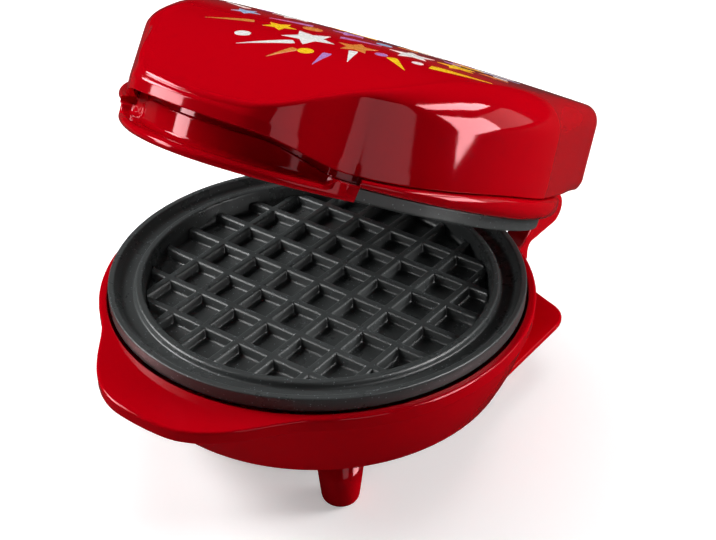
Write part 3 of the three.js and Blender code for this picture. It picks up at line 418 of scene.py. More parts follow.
def plain_finish(name, colour, other, rough, metallic, scale, depth=0.00004):
    """Two near tones, a soft change of roughness, and a fine grain."""
    material, tree, shader = start_finish(name, Metallic=metallic)
    position = tree.nodes.new("ShaderNodeTexCoord")
    noise = add(tree, "ShaderNodeTexNoise", Scale=scale, Detail=5.0, Roughness=0.65)
    tree.links.new(position.outputs["Object"], noise.inputs["Vector"])
    patch = map_range(tree, noise.outputs["Fac"], 0.35, 0.65, 0, 1)
    worn = map_range(tree, noise.outputs["Fac"], 0.3, 0.7, rough, rough + WORN_ROUGH)
    tone = mix_colours(tree, patch, linear(*colour), linear(*other))
    dress(tree, shader, tone, worn, noise.outputs["Fac"], 0.4, depth)
    return material


finish_of_slot = {
    "red_shell": red_plastic,
    "non_stick": non_stick,
    "steel": plain_finish("plain_steel", (176, 178, 182), (158, 160, 164), 0.26, 1.0, 900.0),
    "element": plain_finish("element_sheath", (96, 98, 102), (72, 70, 70), 0.42, 0.8, 500.0),
    "black_plastic": plain_finish("black_plastic", (30, 30, 33), (22, 22, 24), 0.5, 0.0, 1400.0, 0.0001),
    "ceramic": plain_finish("ceramic_body", (222, 216, 204), (208, 201, 187), 0.55, 0.0, 700.0),
    "lead": plain_finish("lead_sleeve", (205, 202, 192), (186, 183, 172), 0.6, 0.0, 1800.0),
}
for entry in frame["record"]["subparts"]:
    node = frame["nodes"][entry["node"]]
    node.data.materials.clear()
    node.data.materials.append(finish_of_slot[entry["material_slot"]])

# %% [markdown]
# ## The bowl
# The base is one moulding: a tapering bowl under a flat flange that swells into a handle at
# the front. Its outline changes with the angle, so it is a section carried round the axis:
# the flange's reach is a smooth bulge over 37 degrees either side of the front, and the wall
# below leans in with a slight belly.

# %% Bowl with its flange and handle
FLANGE_Z, FLANGE_BAND, FLANGE_R, MOUTH_R = -5.0, 4.6, 73.5, 70.8
HANDLE_R, HANDLE_FULL, HANDLE_END = 88.0, 6, 37
BOTTOM_Z, BOTTOM_R, BELLY, WALL, FLOOR, FLOOR_OPENING = -32.5, 65.0, 1.3, 2.4, 2.5, 38.0
TURN = np.arange(288) * 360 / 288


def turn_from_front(degrees):
    """How far an angle lies from the front, 0 to 180 degrees on either side."""
    return np.abs(np.where(degrees > 180, degrees - 360, degrees))


from_front = turn_from_front(TURN)


def bowl_radius(z):
    """A straight taper from flange to bottom plus a belly: r = mix(r0, r1, s) + b sin(pi s)."""
    share = (FLANGE_Z - z) / (FLANGE_Z - BOTTOM_Z)
    return mix(FLANGE_R, BOTTOM_R, share) + BELLY * np.sin(np.pi * share)


def bowl_section():
    """Flange, handle edge, leaning wall, bottom, floor opening and the inside, one closed line."""
    swell = 1 - smoothstep(from_front, HANDLE_FULL, HANDLE_END)
    rim = FLANGE_R + (HANDLE_R - FLANGE_R) * swell
    band_low = FLANGE_Z - FLANGE_BAND
    wall_z = np.linspace(band_low, BOTTOM_Z, 9)
    inner_z = np.linspace(BOTTOM_Z + FLOOR, band_low - 1, 4)
    rows = [(MOUTH_R, FLANGE_Z, 0.5), (rim, FLANGE_Z, 1.0), (rim, band_low, 1.0)]
    rows += [(bowl_radius(z), z, 0.8 if z == band_low else 0) for z in wall_z[:-1]]
    rows += [(BOTTOM_R, BOTTOM_Z, 1.2), (FLOOR_OPENING, BOTTOM_Z, 0.4), (FLOOR_OPENING, inner_z[0], 0.4)]
    rows += [(min(bowl_radius(z) - WALL, MOUTH_R), z, 0) for z in inner_z]
    return soften(section_of([row[:2] for row in rows], len(TURN)), [row[2] for row in rows])


piece("bowl", [(around(bowl_section(), TURN), True, True)], "red_shell", "base", "base_housing")

# %% [markdown]
# ## Feet, rear shelf and hinge ears
# Four short cones carry the bowl. At the back a thin shelf with rounded corners stands out
# below, and the cord is wound above it. Two ears reach back from the flange and hold the
# hinge pins.

# %% Feet
FOOT_RING, FOOT_ANGLE, FOOT_TIP, FOOT_ROOT, FOOT_SUNK, FOOT_ROUND = 56.5, 44, 6.0, 8.2, 1.2, 2.4
foot_top = BOTTOM_Z + FOOT_SUNK
foot_outline = np.array([[0, TABLE_Z], [FOOT_TIP, TABLE_Z], [FOOT_ROOT, foot_top], [0, foot_top]])
foot_outline = soften(foot_outline, [0, FOOT_ROUND, 0, 0], closed=False, steps=8)
foot_angles = np.radians([FOOT_ANGLE, 180 - FOOT_ANGLE, 180 + FOOT_ANGLE, -FOOT_ANGLE])
foot_grids = [
    (turned(foot_outline, 64, (FOOT_RING * np.sin(a), -FOOT_RING * np.cos(a))), True, False)
    for a in foot_angles
]
piece("feet", foot_grids, "red_shell", "base", "base_housing")

# %% Rear shelf
SHELF_HALF, SHELF_REAR, SHELF_CORNER, CORNER_R, SHELF_SHEET = 62.5, 78.0, 66.0, 9.0, 2.5
SHELF_IN, SHELF_FRONT, SHELF_INSET, SHELF_EDGE = 50.0, 60.0, 0.04, 0.9


def bend(start, middle, end, count=24):
    """The quadratic curve (1-t)^2 A + 2t(1-t) B + t^2 C."""
    t = np.linspace(0, 1, count)[:, None]
    a, b, c = (np.asarray(p, float) for p in (start, middle, end))
    return (1 - t) ** 2 * a + 2 * t * (1 - t) * b + t**2 * c


def shelf_section():
    """A ring under the bowl. Its outer edge runs along the straight side, round a corner and
    over a shallow rear arc, and is read off by its angle. The front half stays inside."""
    corner_end = (SHELF_HALF - CORNER_R, SHELF_CORNER + CORNER_R / 4)
    side = np.stack([np.full(20, SHELF_HALF), np.linspace(0, SHELF_CORNER - CORNER_R, 20)], -1)
    corner = bend(side[-1], (SHELF_HALF, SHELF_CORNER), corner_end)
    far_end = (-corner_end[0], corner_end[1])
    rear = bend(corner_end, (0, 2 * SHELF_REAR - SHELF_CORNER), far_end, 61)[:31]
    edge = np.concatenate([side, corner[1:], rear[1:]])
    at = np.degrees(np.arctan2(np.abs(edge[:, 0]), -edge[:, 1]))
    reach = np.interp(from_front, at, np.hypot(edge[:, 0], edge[:, 1]))
    reach = mix(SHELF_FRONT, reach, smoothstep(from_front, 80, 92))
    low, high = BOTTOM_Z + SHELF_INSET, BOTTOM_Z + SHELF_SHEET - SHELF_INSET
    corners = [(SHELF_IN, low), (reach, low), (reach, high), (SHELF_IN, high)]
    return soften(section_of(corners, len(TURN)), [0, SHELF_EDGE, SHELF_EDGE, 0])


shelf_grid = around(shelf_section(), TURN)
piece("rear_shelf", [(shelf_grid, True, True)], "red_shell", "base", "base_housing")


# %% A plate cut to a side view
ROLL_STEPS, CAP_SHARE = 5, 0.9


def slab(side_view, low_x, high_x, edge, centre):
    """A plate cut to a side view (y, z) from low_x to high_x. Its rim rolls in by edge:
    inset = edge (1 - sin t) and x = edge (1 - cos t), and both caps close on a centre."""
    side_view, centre = np.asarray(side_view, float), np.asarray(centre, float)
    run = np.roll(side_view, -1, 0) - np.roll(side_view, 1, 0)
    normal = np.stack([run[:, 1], -run[:, 0]], -1)
    normal /= np.maximum(np.linalg.norm(normal, axis=1, keepdims=True), 1e-6)
    outward = np.sign(((side_view - centre) * normal).sum(1).mean())
    rings, xs = [np.repeat(centre[None], len(side_view), 0)], [low_x]
    rings.append(centre + (side_view - outward * normal * edge - centre) * CAP_SHARE)
    xs.append(low_x)
    for t in np.linspace(0, np.pi / 2, ROLL_STEPS):
        rings.append(side_view - outward * normal * (edge * (1 - np.sin(t))))
        xs.append(low_x + edge * (1 - np.cos(t)))
    rings += rings[::-1]
    xs += [high_x - (x - low_x) for x in xs[::-1]]
    sides = np.stack(rings, 1)
    across = np.broadcast_to(np.array(xs)[None, :, None], sides.shape[:2] + (1,))
    return np.concatenate([across, sides], -1)


def pair(side_view, near, far, edge, centre):
    """Two plates of one side view, one on the right of the middle and one on the left."""
    spans = ((near, far), (-far, -near))
    return [(slab(side_view, low, high, edge, centre), True, False) for low, high in spans]


# %% Hinge ears
def arc(centre, radius, first, last, count):
    """Points on a circle from one angle to another, in degrees."""
    t = np.radians(np.linspace(first, last, count))
    return np.stack([centre[0] + radius * np.cos(t), centre[1] + radius * np.sin(t)], -1)


EAR_IN, EAR_OUT, EAR_R, EAR_END = 37.0, 45.0, 5.8, (HINGE_Y + 6.4, HINGE_Z + 2.4)
EAR_EDGE, EAR_MIDDLE = 0.9, (63.5, -4.9)
end_y, end_z = EAR_END
ear_corners = np.array([
    [58.5, -5.4], [58.5, -12.8], [64.4, -12.8], [64.4, end_z - EAR_R], [end_y, end_z - EAR_R],
    [end_y + EAR_R, end_z - EAR_R], [end_y + EAR_R, end_z + EAR_R], [end_y, end_z + EAR_R], [70.0, 3.0],
])
ear_side = soften(ear_corners, [0, 0, 0.8, 2.4, 0, 0, 0, 0, 2.0])
round_end = arc(EAR_END, EAR_R, -90, 90, 30)
first_flat = int(np.argmin(np.abs(ear_side - ear_corners[4]).sum(1)))
last_flat = int(np.argmin(np.abs(ear_side - ear_corners[7]).sum(1)))
ear_side = np.concatenate([ear_side[:first_flat], round_end, ear_side[last_flat + 1:]])
ear_grids = pair(ear_side, EAR_IN, EAR_OUT, EAR_EDGE, EAR_MIDDLE)
piece("hinge_ears", ear_grids, "red_shell", "base", "base_housing")

# %% [markdown]
# ## The lower plate
# The plate is a casting: a raised lip, a channel that catches spilt batter, a low ridge,
# and the well. The outline is turned on a lathe. The crossing ribs in the well are a height
# field, the greater of two sets of sloping ribs, on a grid whose lines fall on the ribs'
# own edges, so that their corners stay crisp.

# %% Lower plate, turned
PLATE_R, WELL_R, WELL_DEPTH, PLATE_LOW, RIDGE_Z, CHANNEL_Z = 70.0, 57.4, 8.2, -11.2, -1.0, -3.0
plate_corners = np.array([
    [0, -WELL_DEPTH], [WELL_R, -WELL_DEPTH], [58.6, RIDGE_Z], [61.0, RIDGE_Z], [61.7, CHANNEL_Z],
    [66.0, CHANNEL_Z], [67.9, 0.0], [PLATE_R, 0.0], [PLATE_R, -4.8], [66.0, -6.0], [62.8, -6.0],
    [61.0, -9.4], [59.2, PLATE_LOW], [0, PLATE_LOW],
])
plate_soft = [0, 1.6, 0.7, 0.7, 0.6, 1.1, 0.5, 0.55, 0.5, 0.4, 0.4, 0.6, 0.6, 0]
lower_grid = turned(soften(plate_corners, plate_soft, closed=False), 288)
piece("lower_plate_casting", [(lower_grid, True, False)], "non_stick", "base", "lower_plate")

# %% Crossing ribs
RIB_PITCH, RIB_LINES, RIB_TOP, RIB_FOOT, RIB_HEIGHT = 14.0, 7, 2.2, 4.4, 3.2
RIB_LIFT, RIB_SUNK, WALL_LAP = 0.15, 0.8, 0.1


def rib_height(distance):
    """Height of one rib across its width: flat on top, then a slope, with eased corners."""
    slope = (RIB_FOOT / 2 - np.abs(distance)) / ((RIB_FOOT - RIB_TOP) / 2)
    return RIB_HEIGHT * smoothstep(slope * 0.86 + 0.07, 0, 1)


def rib_lines():
    """Grid lines at the ribs' edges and between them, out to the well's wall."""
    centres = (np.arange(RIB_LINES) - (RIB_LINES - 1) / 2) * RIB_PITCH
    half = np.array([0.8, 1.15, 1.4, 1.7, 1.95, 2.2, 3.4])
    across = (centres[:, None] + np.concatenate([-half, [0], half])).ravel()
    between = ((centres[:-1] + RIB_PITCH / 2)[:, None] + [-1.8, 0, 1.8]).ravel()
    ends = np.array([50, 54, WELL_R - WALL_LAP])
    return np.unique(np.round(np.concatenate([across, between, ends, -ends]), 4)), centres


def rib_block():
    """z = well floor + the greater of the ribs along x and along y. Quads that reach into the
    well are kept, and their outer corners slide in to its wall. A flat sheet lies under them,
    and a quad under each edge that only one kept quad has joins the two."""
    lines, centres = rib_lines()
    x, y = np.meshgrid(lines, lines, indexing="ij")
    along = rib_height((x[..., None] - centres)).max(-1)
    over = rib_height((y[..., None] - centres)).max(-1)
    z = -WELL_DEPTH + RIB_LIFT + np.maximum(along, over)
    reach = np.hypot(x, y)
    pull = np.minimum(1, (WELL_R + WALL_LAP) / np.maximum(reach, 1e-6))
    top = np.stack([x * pull, y * pull, z], -1).reshape(-1, 3)
    under = top * [1, 1, 0] + [0, 0, -WELL_DEPTH - RIB_SUNK]
    kept = quads_of(x.shape, False, False)
    kept = kept[(reach.ravel() < WELL_R)[kept].any(1)]
    edges = np.stack([kept, np.roll(kept, -1, 1)], -1).reshape(-1, 2)
    _, at, times = np.unique(np.sort(edges, 1), axis=0, return_index=True, return_counts=True)
    rim = edges[at[times == 1]]
    sides = np.concatenate([rim, rim[:, ::-1] + x.size], 1)
    used, quads = np.unique(np.concatenate([kept, kept + x.size, sides]), return_inverse=True)
    return np.concatenate([top, under])[used], quads.reshape(-1, 4)


piece("lower_plate_ribs", [rib_block()], "non_stick", "base", "lower_plate")

# %% [markdown]
# ## The lid's cover
# From above the lid is a circle with a nose at the front, two straight facets behind the
# sides, and square rear corners. Its lower edge runs in a long S: high at the nose, low at
# the shoulder, and high again at the back, where the foot of the wall tucks in. The top is a
# shallow dome that falls towards the nose, and the rounding between wall and top grows from
# 2 mm at the nose to 13 mm at the side. The angles lie closer together where the plan turns.

# %% Outline, dome and parting line
NOSE, NOSE_FLAT, NOSE_END, COVER_R, COVER_WALL = 12.5, 12, 37, 71.0, 2.2
FACET_Y, CORNER_X, CORNER_Y, REAR_Y, CORNER_SOFT = 8.0, 54.0, 76.0, 79.5, 1.05
CROWN_Z, FOOT_TUCK, FOOT_RISE = 43.3, 1.5, 4.0
NOSE_FALL, NOSE_SPAN, REAR_FALL, REAR_SPAN, SIDE_FALL = 26.3, 84, 1.5, 78, 2
PART_NOSE, PART_SHOULDER, PART_REAR = 13.0, 7.5, 11.5
EDGE_NOSE, EDGE_SIDE, EDGE_REAR = 2.2, 13.0, 7.0
tab_turns = np.concatenate([np.arange(30.5, 39.5, 0.25), np.arange(38.3, 38.85, 0.05)])
close_turns = np.concatenate([tab_turns, np.arange(137, 150, 0.5)])
LID_TURN = np.unique(np.round(np.concatenate([TURN, close_turns, 360 - close_turns]), 3))


def soft_least(a, b, soft):
    """The lesser of a and b with a rounded change: m - s log(1 + exp(-|a - b| / s))."""
    return np.minimum(a, b) - soft * np.log1p(np.exp(-np.abs(a - b) / soft))


def cover_outline(degrees):
    """r = 71 + a bulge at the nose; behind y = 8 the lesser of a straight facet and a shallow
    rear arc, where n . p = c gives the facet and y = 79.5 - k x^2 the arc."""
    turn = np.radians(degrees)
    away = turn_from_front(degrees)
    across, back = np.abs(np.sin(turn)), -np.cos(turn)
    rounded = COVER_R + NOSE * (1 - smoothstep(away, NOSE_FLAT, NOSE_END))
    facet_x = np.sqrt(COVER_R**2 - FACET_Y**2)
    n_x, n_y = CORNER_Y - FACET_Y, facet_x - CORNER_X
    facet = (n_x * facet_x + n_y * FACET_Y) / np.maximum(n_x * across + n_y * back, 1e-3)
    bow = (REAR_Y - CORNER_Y) / CORNER_X**2 * across**2
    rear = 2 * REAR_Y / np.maximum(back + np.sqrt(back**2 + 4 * bow * REAR_Y), 1e-3)
    return np.where(back * COVER_R < FACET_Y, rounded, soft_least(facet, rear, CORNER_SOFT))


def cover_top(x, y):
    """A dome: z = 43.3 - 26.3 (y / 84)^2 in front, or - 1.5 (y / 78)^2 behind, - 2 (x / 71)^2."""
    fall = np.where(y < 0, NOSE_FALL * (y / NOSE_SPAN) ** 2, REAR_FALL * (y / REAR_SPAN) ** 2)
    return CROWN_Z - fall - SIDE_FALL * (x / COVER_R) ** 2


def parting_z(away):
    """13 mm at the nose, down to 7.5 at 36 degrees, and up to 11.5 from 85 degrees on."""
    low = mix(PART_NOSE, PART_SHOULDER, smoothstep(away, 14, 36))
    return mix(low, PART_REAR, smoothstep(away, 36, 85))


def edge_round(away):
    """The rounding between wall and dome, 2.2 mm at the nose, 13 at the side, 7 behind."""
    side = mix(EDGE_NOSE, EDGE_SIDE, smoothstep(away, 32, 62))
    return mix(side, EDGE_REAR, smoothstep(away, 95, 140))


def foot_tuck(away):
    """How far the wall's foot tucks in: nothing in front, 1.5 mm behind 140 degrees."""
    return FOOT_TUCK * smoothstep(away, 120, 140)


def cover_skin(degrees, inset, steps):
    """From the parting line up the wall, round the edge and over the dome to the middle. The
    foot's tuck dies out upwards as (1 - h / 4)^2."""
    away, turn = turn_from_front(degrees), np.radians(degrees)
    foot = cover_outline(degrees) - inset
    wall_top = foot - 1.0
    rounding = np.maximum(edge_round(away) - inset, 0.2 + inset / 4)
    inner = wall_top - rounding

    def top_at(radius):
        return cover_top(radius * np.sin(turn), -radius * np.cos(turn)) - inset

    edge_z = top_at(inner)
    t = np.linspace(0, np.pi / 2, steps + 1)
    rise = np.linspace(0, 1, 5)
    radius = [foot - foot_tuck(away) * (1 - s) ** 2 for s in rise]
    height = [parting_z(away) + FOOT_RISE * s for s in rise]
    radius += [wall_top - rounding * (1 - np.cos(a)) for a in t]
    height += [edge_z - rounding * (1 - np.sin(a)) for a in t]
    for share in np.linspace(0.97, 0, 16):
        radius.append(inner * share)
        height.append(top_at(inner * share))
    return section_of(zip(radius, height), len(degrees))


print("the cover reaches", cover_outline(np.array([0.0]))[0], "mm at its nose")


# %% Lid cover
def cover_section(degrees):
    """Dome, wall, lower edge and the inside again, from the middle back to the middle."""
    outside = cover_skin(degrees, 0, 12)[:, ::-1]
    inside = cover_skin(degrees, COVER_WALL, 6)
    whole = np.concatenate([outside, inside], 1)
    soft = np.zeros(whole.shape[1])
    soft[outside.shape[1] - 1] = 0.6
    soft[outside.shape[1]] = 0.3
    return soften(whole, soft, closed=False)


cover_grid = around(cover_section(LID_TURN), LID_TURN)
piece("lid_cover_shell", [(cover_grid, True, False)], "red_shell", "lid", "lid_cover")

# %% [markdown]
# ## The lid's frame
# Under the cover a second moulding carries the upper plate. It is round all the way and
# shows as a rolled rim. At the nose an arched tab reaches out below a finger recess, and a
# full-height block with a rounded end closes the recess on each side. At the rear a flat
# ledge fills the cover's square corners, and the two knuckles of the hinge hang from it.

# %% Lid frame
LIP_IN, LIP_Z, LIP_SHEET, FRAME_WALL, BEAD_ROOT, BEAD_R = 61.0, 4.6, 2.2, 2.1, 70.0, 73.1
TAB_REACH, TAB_BOW, TAB_ROOT, TAB_LOW, TAB_SHEET = 84.3, 1.138, 69.4, 0.3, 3.0
RECESS_DEPTH, RECESS_LEAST, RECESS_END, BLOCK, TAB_END = 6.0, 71.0, 31, 33.5, 38.4
bead_out = np.array([0, 0.35, 0.7, 0.92, 1, 0.97, 0.86])
bead_up = np.array([0, 0.05, 0.18, 0.36, 0.55, 0.76, 0.93])


def tab_edge(away):
    """The parabola y = 84.3 (1.138 (x / 84.3)^2 - 1) in polar form, where c and s are the
    angle's cosine and sine: r = 2 R / (c + sqrt(c^2 + 4 b s^2))."""
    c, s = np.cos(np.radians(away)), np.sin(np.radians(away))
    return 2 * TAB_REACH / (c + np.sqrt(c**2 + 4 * TAB_BOW * s**2))


def rolled_rim(top):
    """The rim's outer line from under the frame to a height just below the cover."""
    return [(mix(BEAD_ROOT, BEAD_R, o), mix(LIP_Z, top, u)) for o, u in zip(bead_out, bead_up)]


def blend_lines(a, b, t):
    """Mixes two lists of (radius, height) corner by corner."""
    return [(mix(p[0], q[0], t), mix(p[1], q[1], t)) for p, q in zip(a, b)]


def frame_section(degrees):
    """A closed line of 17 corners that mixes three shapes: the tab under its recess up to 31
    degrees, the block that closes the recess to 38.4, and the rolled rim from there."""
    away = turn_from_front(degrees)
    top = parting_z(away) - 0.3
    ceiling = top - 2.0
    past, block = smoothstep(away, TAB_END, TAB_END + 0.3), smoothstep(away, RECESS_END, BLOCK)
    along = np.clip((away - BLOCK) / (TAB_END - BLOCK), 0, 1)
    edge = mix(TAB_ROOT + 2, tab_edge(np.minimum(away, TAB_END)), np.sqrt(1 - along**2))
    recess = np.maximum(edge - RECESS_DEPTH, RECESS_LEAST)
    low, high = TAB_LOW, TAB_LOW + TAB_SHEET
    at_nose = [
        (TAB_ROOT, low), (edge - 1, low), (edge, low + 1), (edge, high - 1), (edge - 1, high),
        (recess + 1, high), (recess, high + 1), (recess, ceiling),
    ]
    at_block = at_nose[:4] + [(np.maximum(r, edge), z) for r, z in rolled_rim(ceiling)[4:]]
    at_block.append((at_block[-1][0] - 0.5, ceiling))
    overhang = cover_outline(degrees) - foot_tuck(away) - COVER_WALL - 0.6
    at_rim = rolled_rim(top) + [(np.clip(overhang, COVER_R + 0.25, BEAD_R - 0.5), top - 0.15)]
    outer = blend_lines(blend_lines(at_nose, at_block, block), at_rim, past)
    ledge = mix(ceiling, top, past)
    tongue_out = mix(mix(np.minimum(recess - 1, overhang), overhang, block), overhang, past)
    tongue_top = top + 0.3 + mix(2.0, 2.7, block)
    tongue_in = tongue_out - FRAME_WALL
    wall_in = np.minimum(tongue_in, mix(recess - FRAME_WALL, 66.1, block))
    lip_top = LIP_Z + LIP_SHEET
    corners = [(LIP_IN, LIP_Z), (mix(TAB_ROOT, outer[0][0] - 1, past), LIP_Z)]
    corners += outer + [
        (tongue_out, ledge), (tongue_out, tongue_top), (tongue_in, tongue_top),
        (tongue_in, ledge + FRAME_WALL), (wall_in, ledge + FRAME_WALL - 0.5), (wall_in, lip_top),
        (LIP_IN, lip_top),
    ]
    soft = [0.3, 0.2, 0.6] + [0.7] * 5 + [0.6, 0.4, 0.2, 0.3, 0.3, 0.2, 0.2, 0.2, 0.2]
    return soften(section_of(corners, len(degrees)), soft, steps=4)


frame_grid = around(frame_section(LID_TURN), LID_TURN)
piece("lid_frame_shell", [(frame_grid, True, True)], "red_shell", "lid", "lid_frame")

# %% Hinge knuckles
KNUCKLE_IN, KNUCKLE_OUT, KNUCKLE_R, KNUCKLE_EDGE, KNUCKLE_MIDDLE = 27.0, 36.0, 6.0, 0.8, (74.5, 1.0)
eye_rear = np.array([[HINGE_Y + KNUCKLE_R, HINGE_Z]])
stem = np.array([[75.5, 7.5], [73.2, 12.2], [68.5, 12.2], [68.5, 4.6]])
knuckle_side = np.concatenate([
    arc((HINGE_Y, HINGE_Z), KNUCKLE_R, 180, 360, 32),
    mix(eye_rear, stem[:1], np.linspace(0.15, 1, 6)[:, None]),
    mix(stem[:1], stem[1:2], np.linspace(0.3, 1, 3)[:, None]),
    mix(stem[2:3], stem[3:], np.linspace(0, 1, 5)[:, None]),
])
knuckle_grids = pair(knuckle_side, KNUCKLE_IN, KNUCKLE_OUT, KNUCKLE_EDGE, KNUCKLE_MIDDLE)
piece("hinge_knuckles", knuckle_grids, "red_shell", "lid", "lid_frame")

# %% [markdown]
# ## The upper plate
# Its rim mirrors the lower plate's, and a blossom of round cavities is pressed into it: an
# eye and five petals with sloping walls. The turned casting is open behind a disc whose
# height field has the cavities.

# %% Upper plate
UPPER_R, UPPER_WELL_R, UPPER_FLOOR, UPPER_OPENING, CASTING_BACK = 68.5, 56.8, 8.3, 52.0, 15.8
upper_corners = np.array([
    [0, CASTING_BACK], [UPPER_OPENING, CASTING_BACK], [UPPER_OPENING, UPPER_FLOOR],
    [UPPER_WELL_R, UPPER_FLOOR], [58.8, 1.3], [61.0, 1.3], [61.7, 3.3], [66.0, 3.3], [66.9, 0.3],
    [UPPER_R, 0.3], [UPPER_R, 4.3], [60.3, 4.3], [58.5, 16.3], [0, 16.3],
])
upper_soft = [0, 0.3, 0.1, 1.6, 0.7, 0.7, 0.6, 1.0, 0.4, 0.6, 0.4, 0.4, 0.4, 0]
upper_grid = turned(soften(upper_corners, upper_soft, closed=False), 288)
piece("upper_plate_casting", [(upper_grid, True, False)], "non_stick", "lid", "upper_plate")

# %% Upper plate, blossom
EYE_R, PETAL_R, PETAL_RING, PETALS, CAVITY_DEPTH, CAVITY_SLOPE = 13.0, 10.5, 31.0, 5, 4.6, 2.2
BLOSSOM_R, BLOSSOM_Z, BLOSSOM_BACK = 56.9, 8.15, 15.5


def blossom_field():
    """z = 8.15 + 4.6 s, where s eases from 0 to 1 over the 2.2 mm inside each circle's edge."""
    radius = np.linspace(0, BLOSSOM_R, 150)[None]
    turn = np.radians(np.arange(360))[:, None]
    x, y = radius * np.sin(turn), -radius * np.cos(turn)
    petals = np.radians(np.arange(PETALS) * 360 / PETALS)
    centres = [(0, 0, EYE_R)]
    centres += [(PETAL_RING * np.sin(a), -PETAL_RING * np.cos(a), PETAL_R) for a in petals]
    inside = [smoothstep(r - np.hypot(x - cx, y - cy), 0, CAVITY_SLOPE) for cx, cy, r in centres]
    return np.stack([x, y, BLOSSOM_Z + CAVITY_DEPTH * np.max(inside, 0)], -1)


blossom = blossom_field()
blossom_back = blossom[:, [-1, 0]] * [1, 1, 0] + [0, 0, BLOSSOM_BACK]
blossom_grid = np.concatenate([blossom, blossom_back], 1)
piece("upper_plate_cavities", [(blossom_grid, True, False)], "non_stick", "lid", "upper_plate")

# %% [markdown]
# ## A print on the lid
# The dome carries a playful print in bright inks. Here it is a burst of stars, dots and
# streaks that point away from the middle. Each is a thin film laid on the dome's formula.

# %% Ink shapes
INK_TONES = {
    "white": ((238, 236, 232), (226, 224, 222)),
    "yellow": ((248, 206, 38), (240, 190, 30)),
    "orange": ((222, 142, 66), (208, 124, 52)),
    "lilac": ((186, 132, 196), (172, 116, 184)),
    "blue": ((150, 190, 222), (130, 172, 208)),
}
ink = {}
for tone, (bright, deep) in INK_TONES.items():
    ink[tone] = plain_finish(tone + "_ink", bright, deep, 0.2, 0, 500.0, 0.00002)
FILM, FILM_EDGE, FILM_SUNK = 0.07, 0.03, -0.3
print(len(ink), "inks")


def film(outline, centre):
    """A closed film of ink: rings from its centre to the outline, 0.07 mm over the dome, then
    back under the dome's skin."""
    shares = np.array([0, 0.25, 0.5, 0.75, 0.97, 1.0, 1.0, 0])
    lift = np.array([FILM] * 5 + [FILM_EDGE, FILM_SUNK, FILM_SUNK])
    flat = np.asarray(centre, float) + (outline - centre)[:, None] * shares[None, :, None]
    return np.concatenate([flat, (cover_top(flat[..., 0], flat[..., 1]) + lift)[..., None]], -1)


def star(x, y, size, turn, points=5, waist=0.48):
    """A star: the radius swings between its size and its waist, with straight edges."""
    t = np.radians(turn + np.arange(2 * points) * 180 / points)
    r = np.where(np.arange(2 * points) % 2 == 0, size, size * waist)
    corners = np.stack([x + r * np.sin(t), y + r * np.cos(t)], -1)
    between = np.roll(corners, -1, 0)
    edge = corners[:, None] + (between - corners)[:, None] * (np.arange(4) / 4)[None, :, None]
    return film(edge.reshape(-1, 2), (x, y)), True, False


def dot(x, y, size):
    """A round spot of ink."""
    t = np.linspace(0, 2 * np.pi, 32, endpoint=False)
    return film(np.stack([x + size * np.sin(t), y + size * np.cos(t)], -1), (x, y)), True, False


def streak(x, y, length, width, turn):
    """A long pennant: wide at one end and pointed at the other."""
    t = np.linspace(0, 1, 13)
    half = width / 2 * np.interp(t, [0, 0.06, 1], [0.85, 1, 0.04])
    along = (t - 0.5) * length
    side = np.concatenate([np.stack([along, half], -1), np.stack([along[::-1], -half[::-1]], -1)])
    a = np.radians(turn)
    spin = np.array([[np.cos(a), np.sin(a)], [-np.sin(a), np.cos(a)]])
    return film(side @ spin + [x, y], (x, y)), True, False


# %% The scatter of shapes
scatter = {
    "white": [
        star(0, -33, 8.5, 12), star(25, -14, 7.5, 40), star(-27, -6, 7, 25), star(10, 20, 7, 8),
        dot(-15, -46, 2.4), dot(33, -23.4, 1.8), dot(-38, 12, 2.4), dot(44, 10, 2.4),
        streak(-5, -47.5, 17, 3.4, -128), streak(19, -38, 12, 2.8, -62),
        streak(-46, -12, 14, 2.8, 160), streak(32, 30, 15, 3, 58),
    ],
    "yellow": [
        streak(46, -19.5, 19, 5, 20), star(38, -8, 6.5, 30), star(-14, -30, 5.5, 0),
        streak(31, -31, 13, 3.4, -38), star(-8, 6, 7.5, 20), dot(8, -45, 2.4),
        streak(-36, 26, 17, 4, 140), star(30, 14, 5.5, 10), dot(0, 36, 2.6),
    ],
    "orange": [
        star(14, -28, 6.5, 50), dot(-8, -21, 3.2), streak(4, -51, 11, 3, -100), star(-24, 14, 6, 15),
        star(46, 1, 5, 5), dot(13, 3, 3.4), streak(-28, -37, 15, 3.4, -140),
        streak(14, 38, 14, 3.2, 84),
    ],
    "lilac": [
        streak(8.5, -18, 13, 3.2, 30), dot(22.4, -27.2, 2.0), streak(-18, -19, 14, 3.4, -150),
        streak(15, -47, 11, 2.8, -75), star(-2, -9, 5.5, 22), star(22, 27, 5, 30), dot(-40, -3, 2.8),
        dot(30, 3, 2.8), streak(-16, 32, 15, 3.4, 112),
    ],
    "blue": [
        dot(12, -10, 2.6), star(-34, -22, 5, 5), dot(-5, 23, 3), streak(38, 22, 13, 2.8, 30),
        star(-30, 34, 4.5, 15), dot(-21, 3, 2.2),
    ],
}
for tone, shapes in scatter.items():
    piece("lid_print_" + tone, shapes, "red_shell", "lid", material=ink[tone])

# %% [markdown]
# ## Cord bush at the back
# The mains cord enters through a black bush at the rear of the bowl, a turned ring with a
# rounded flange.

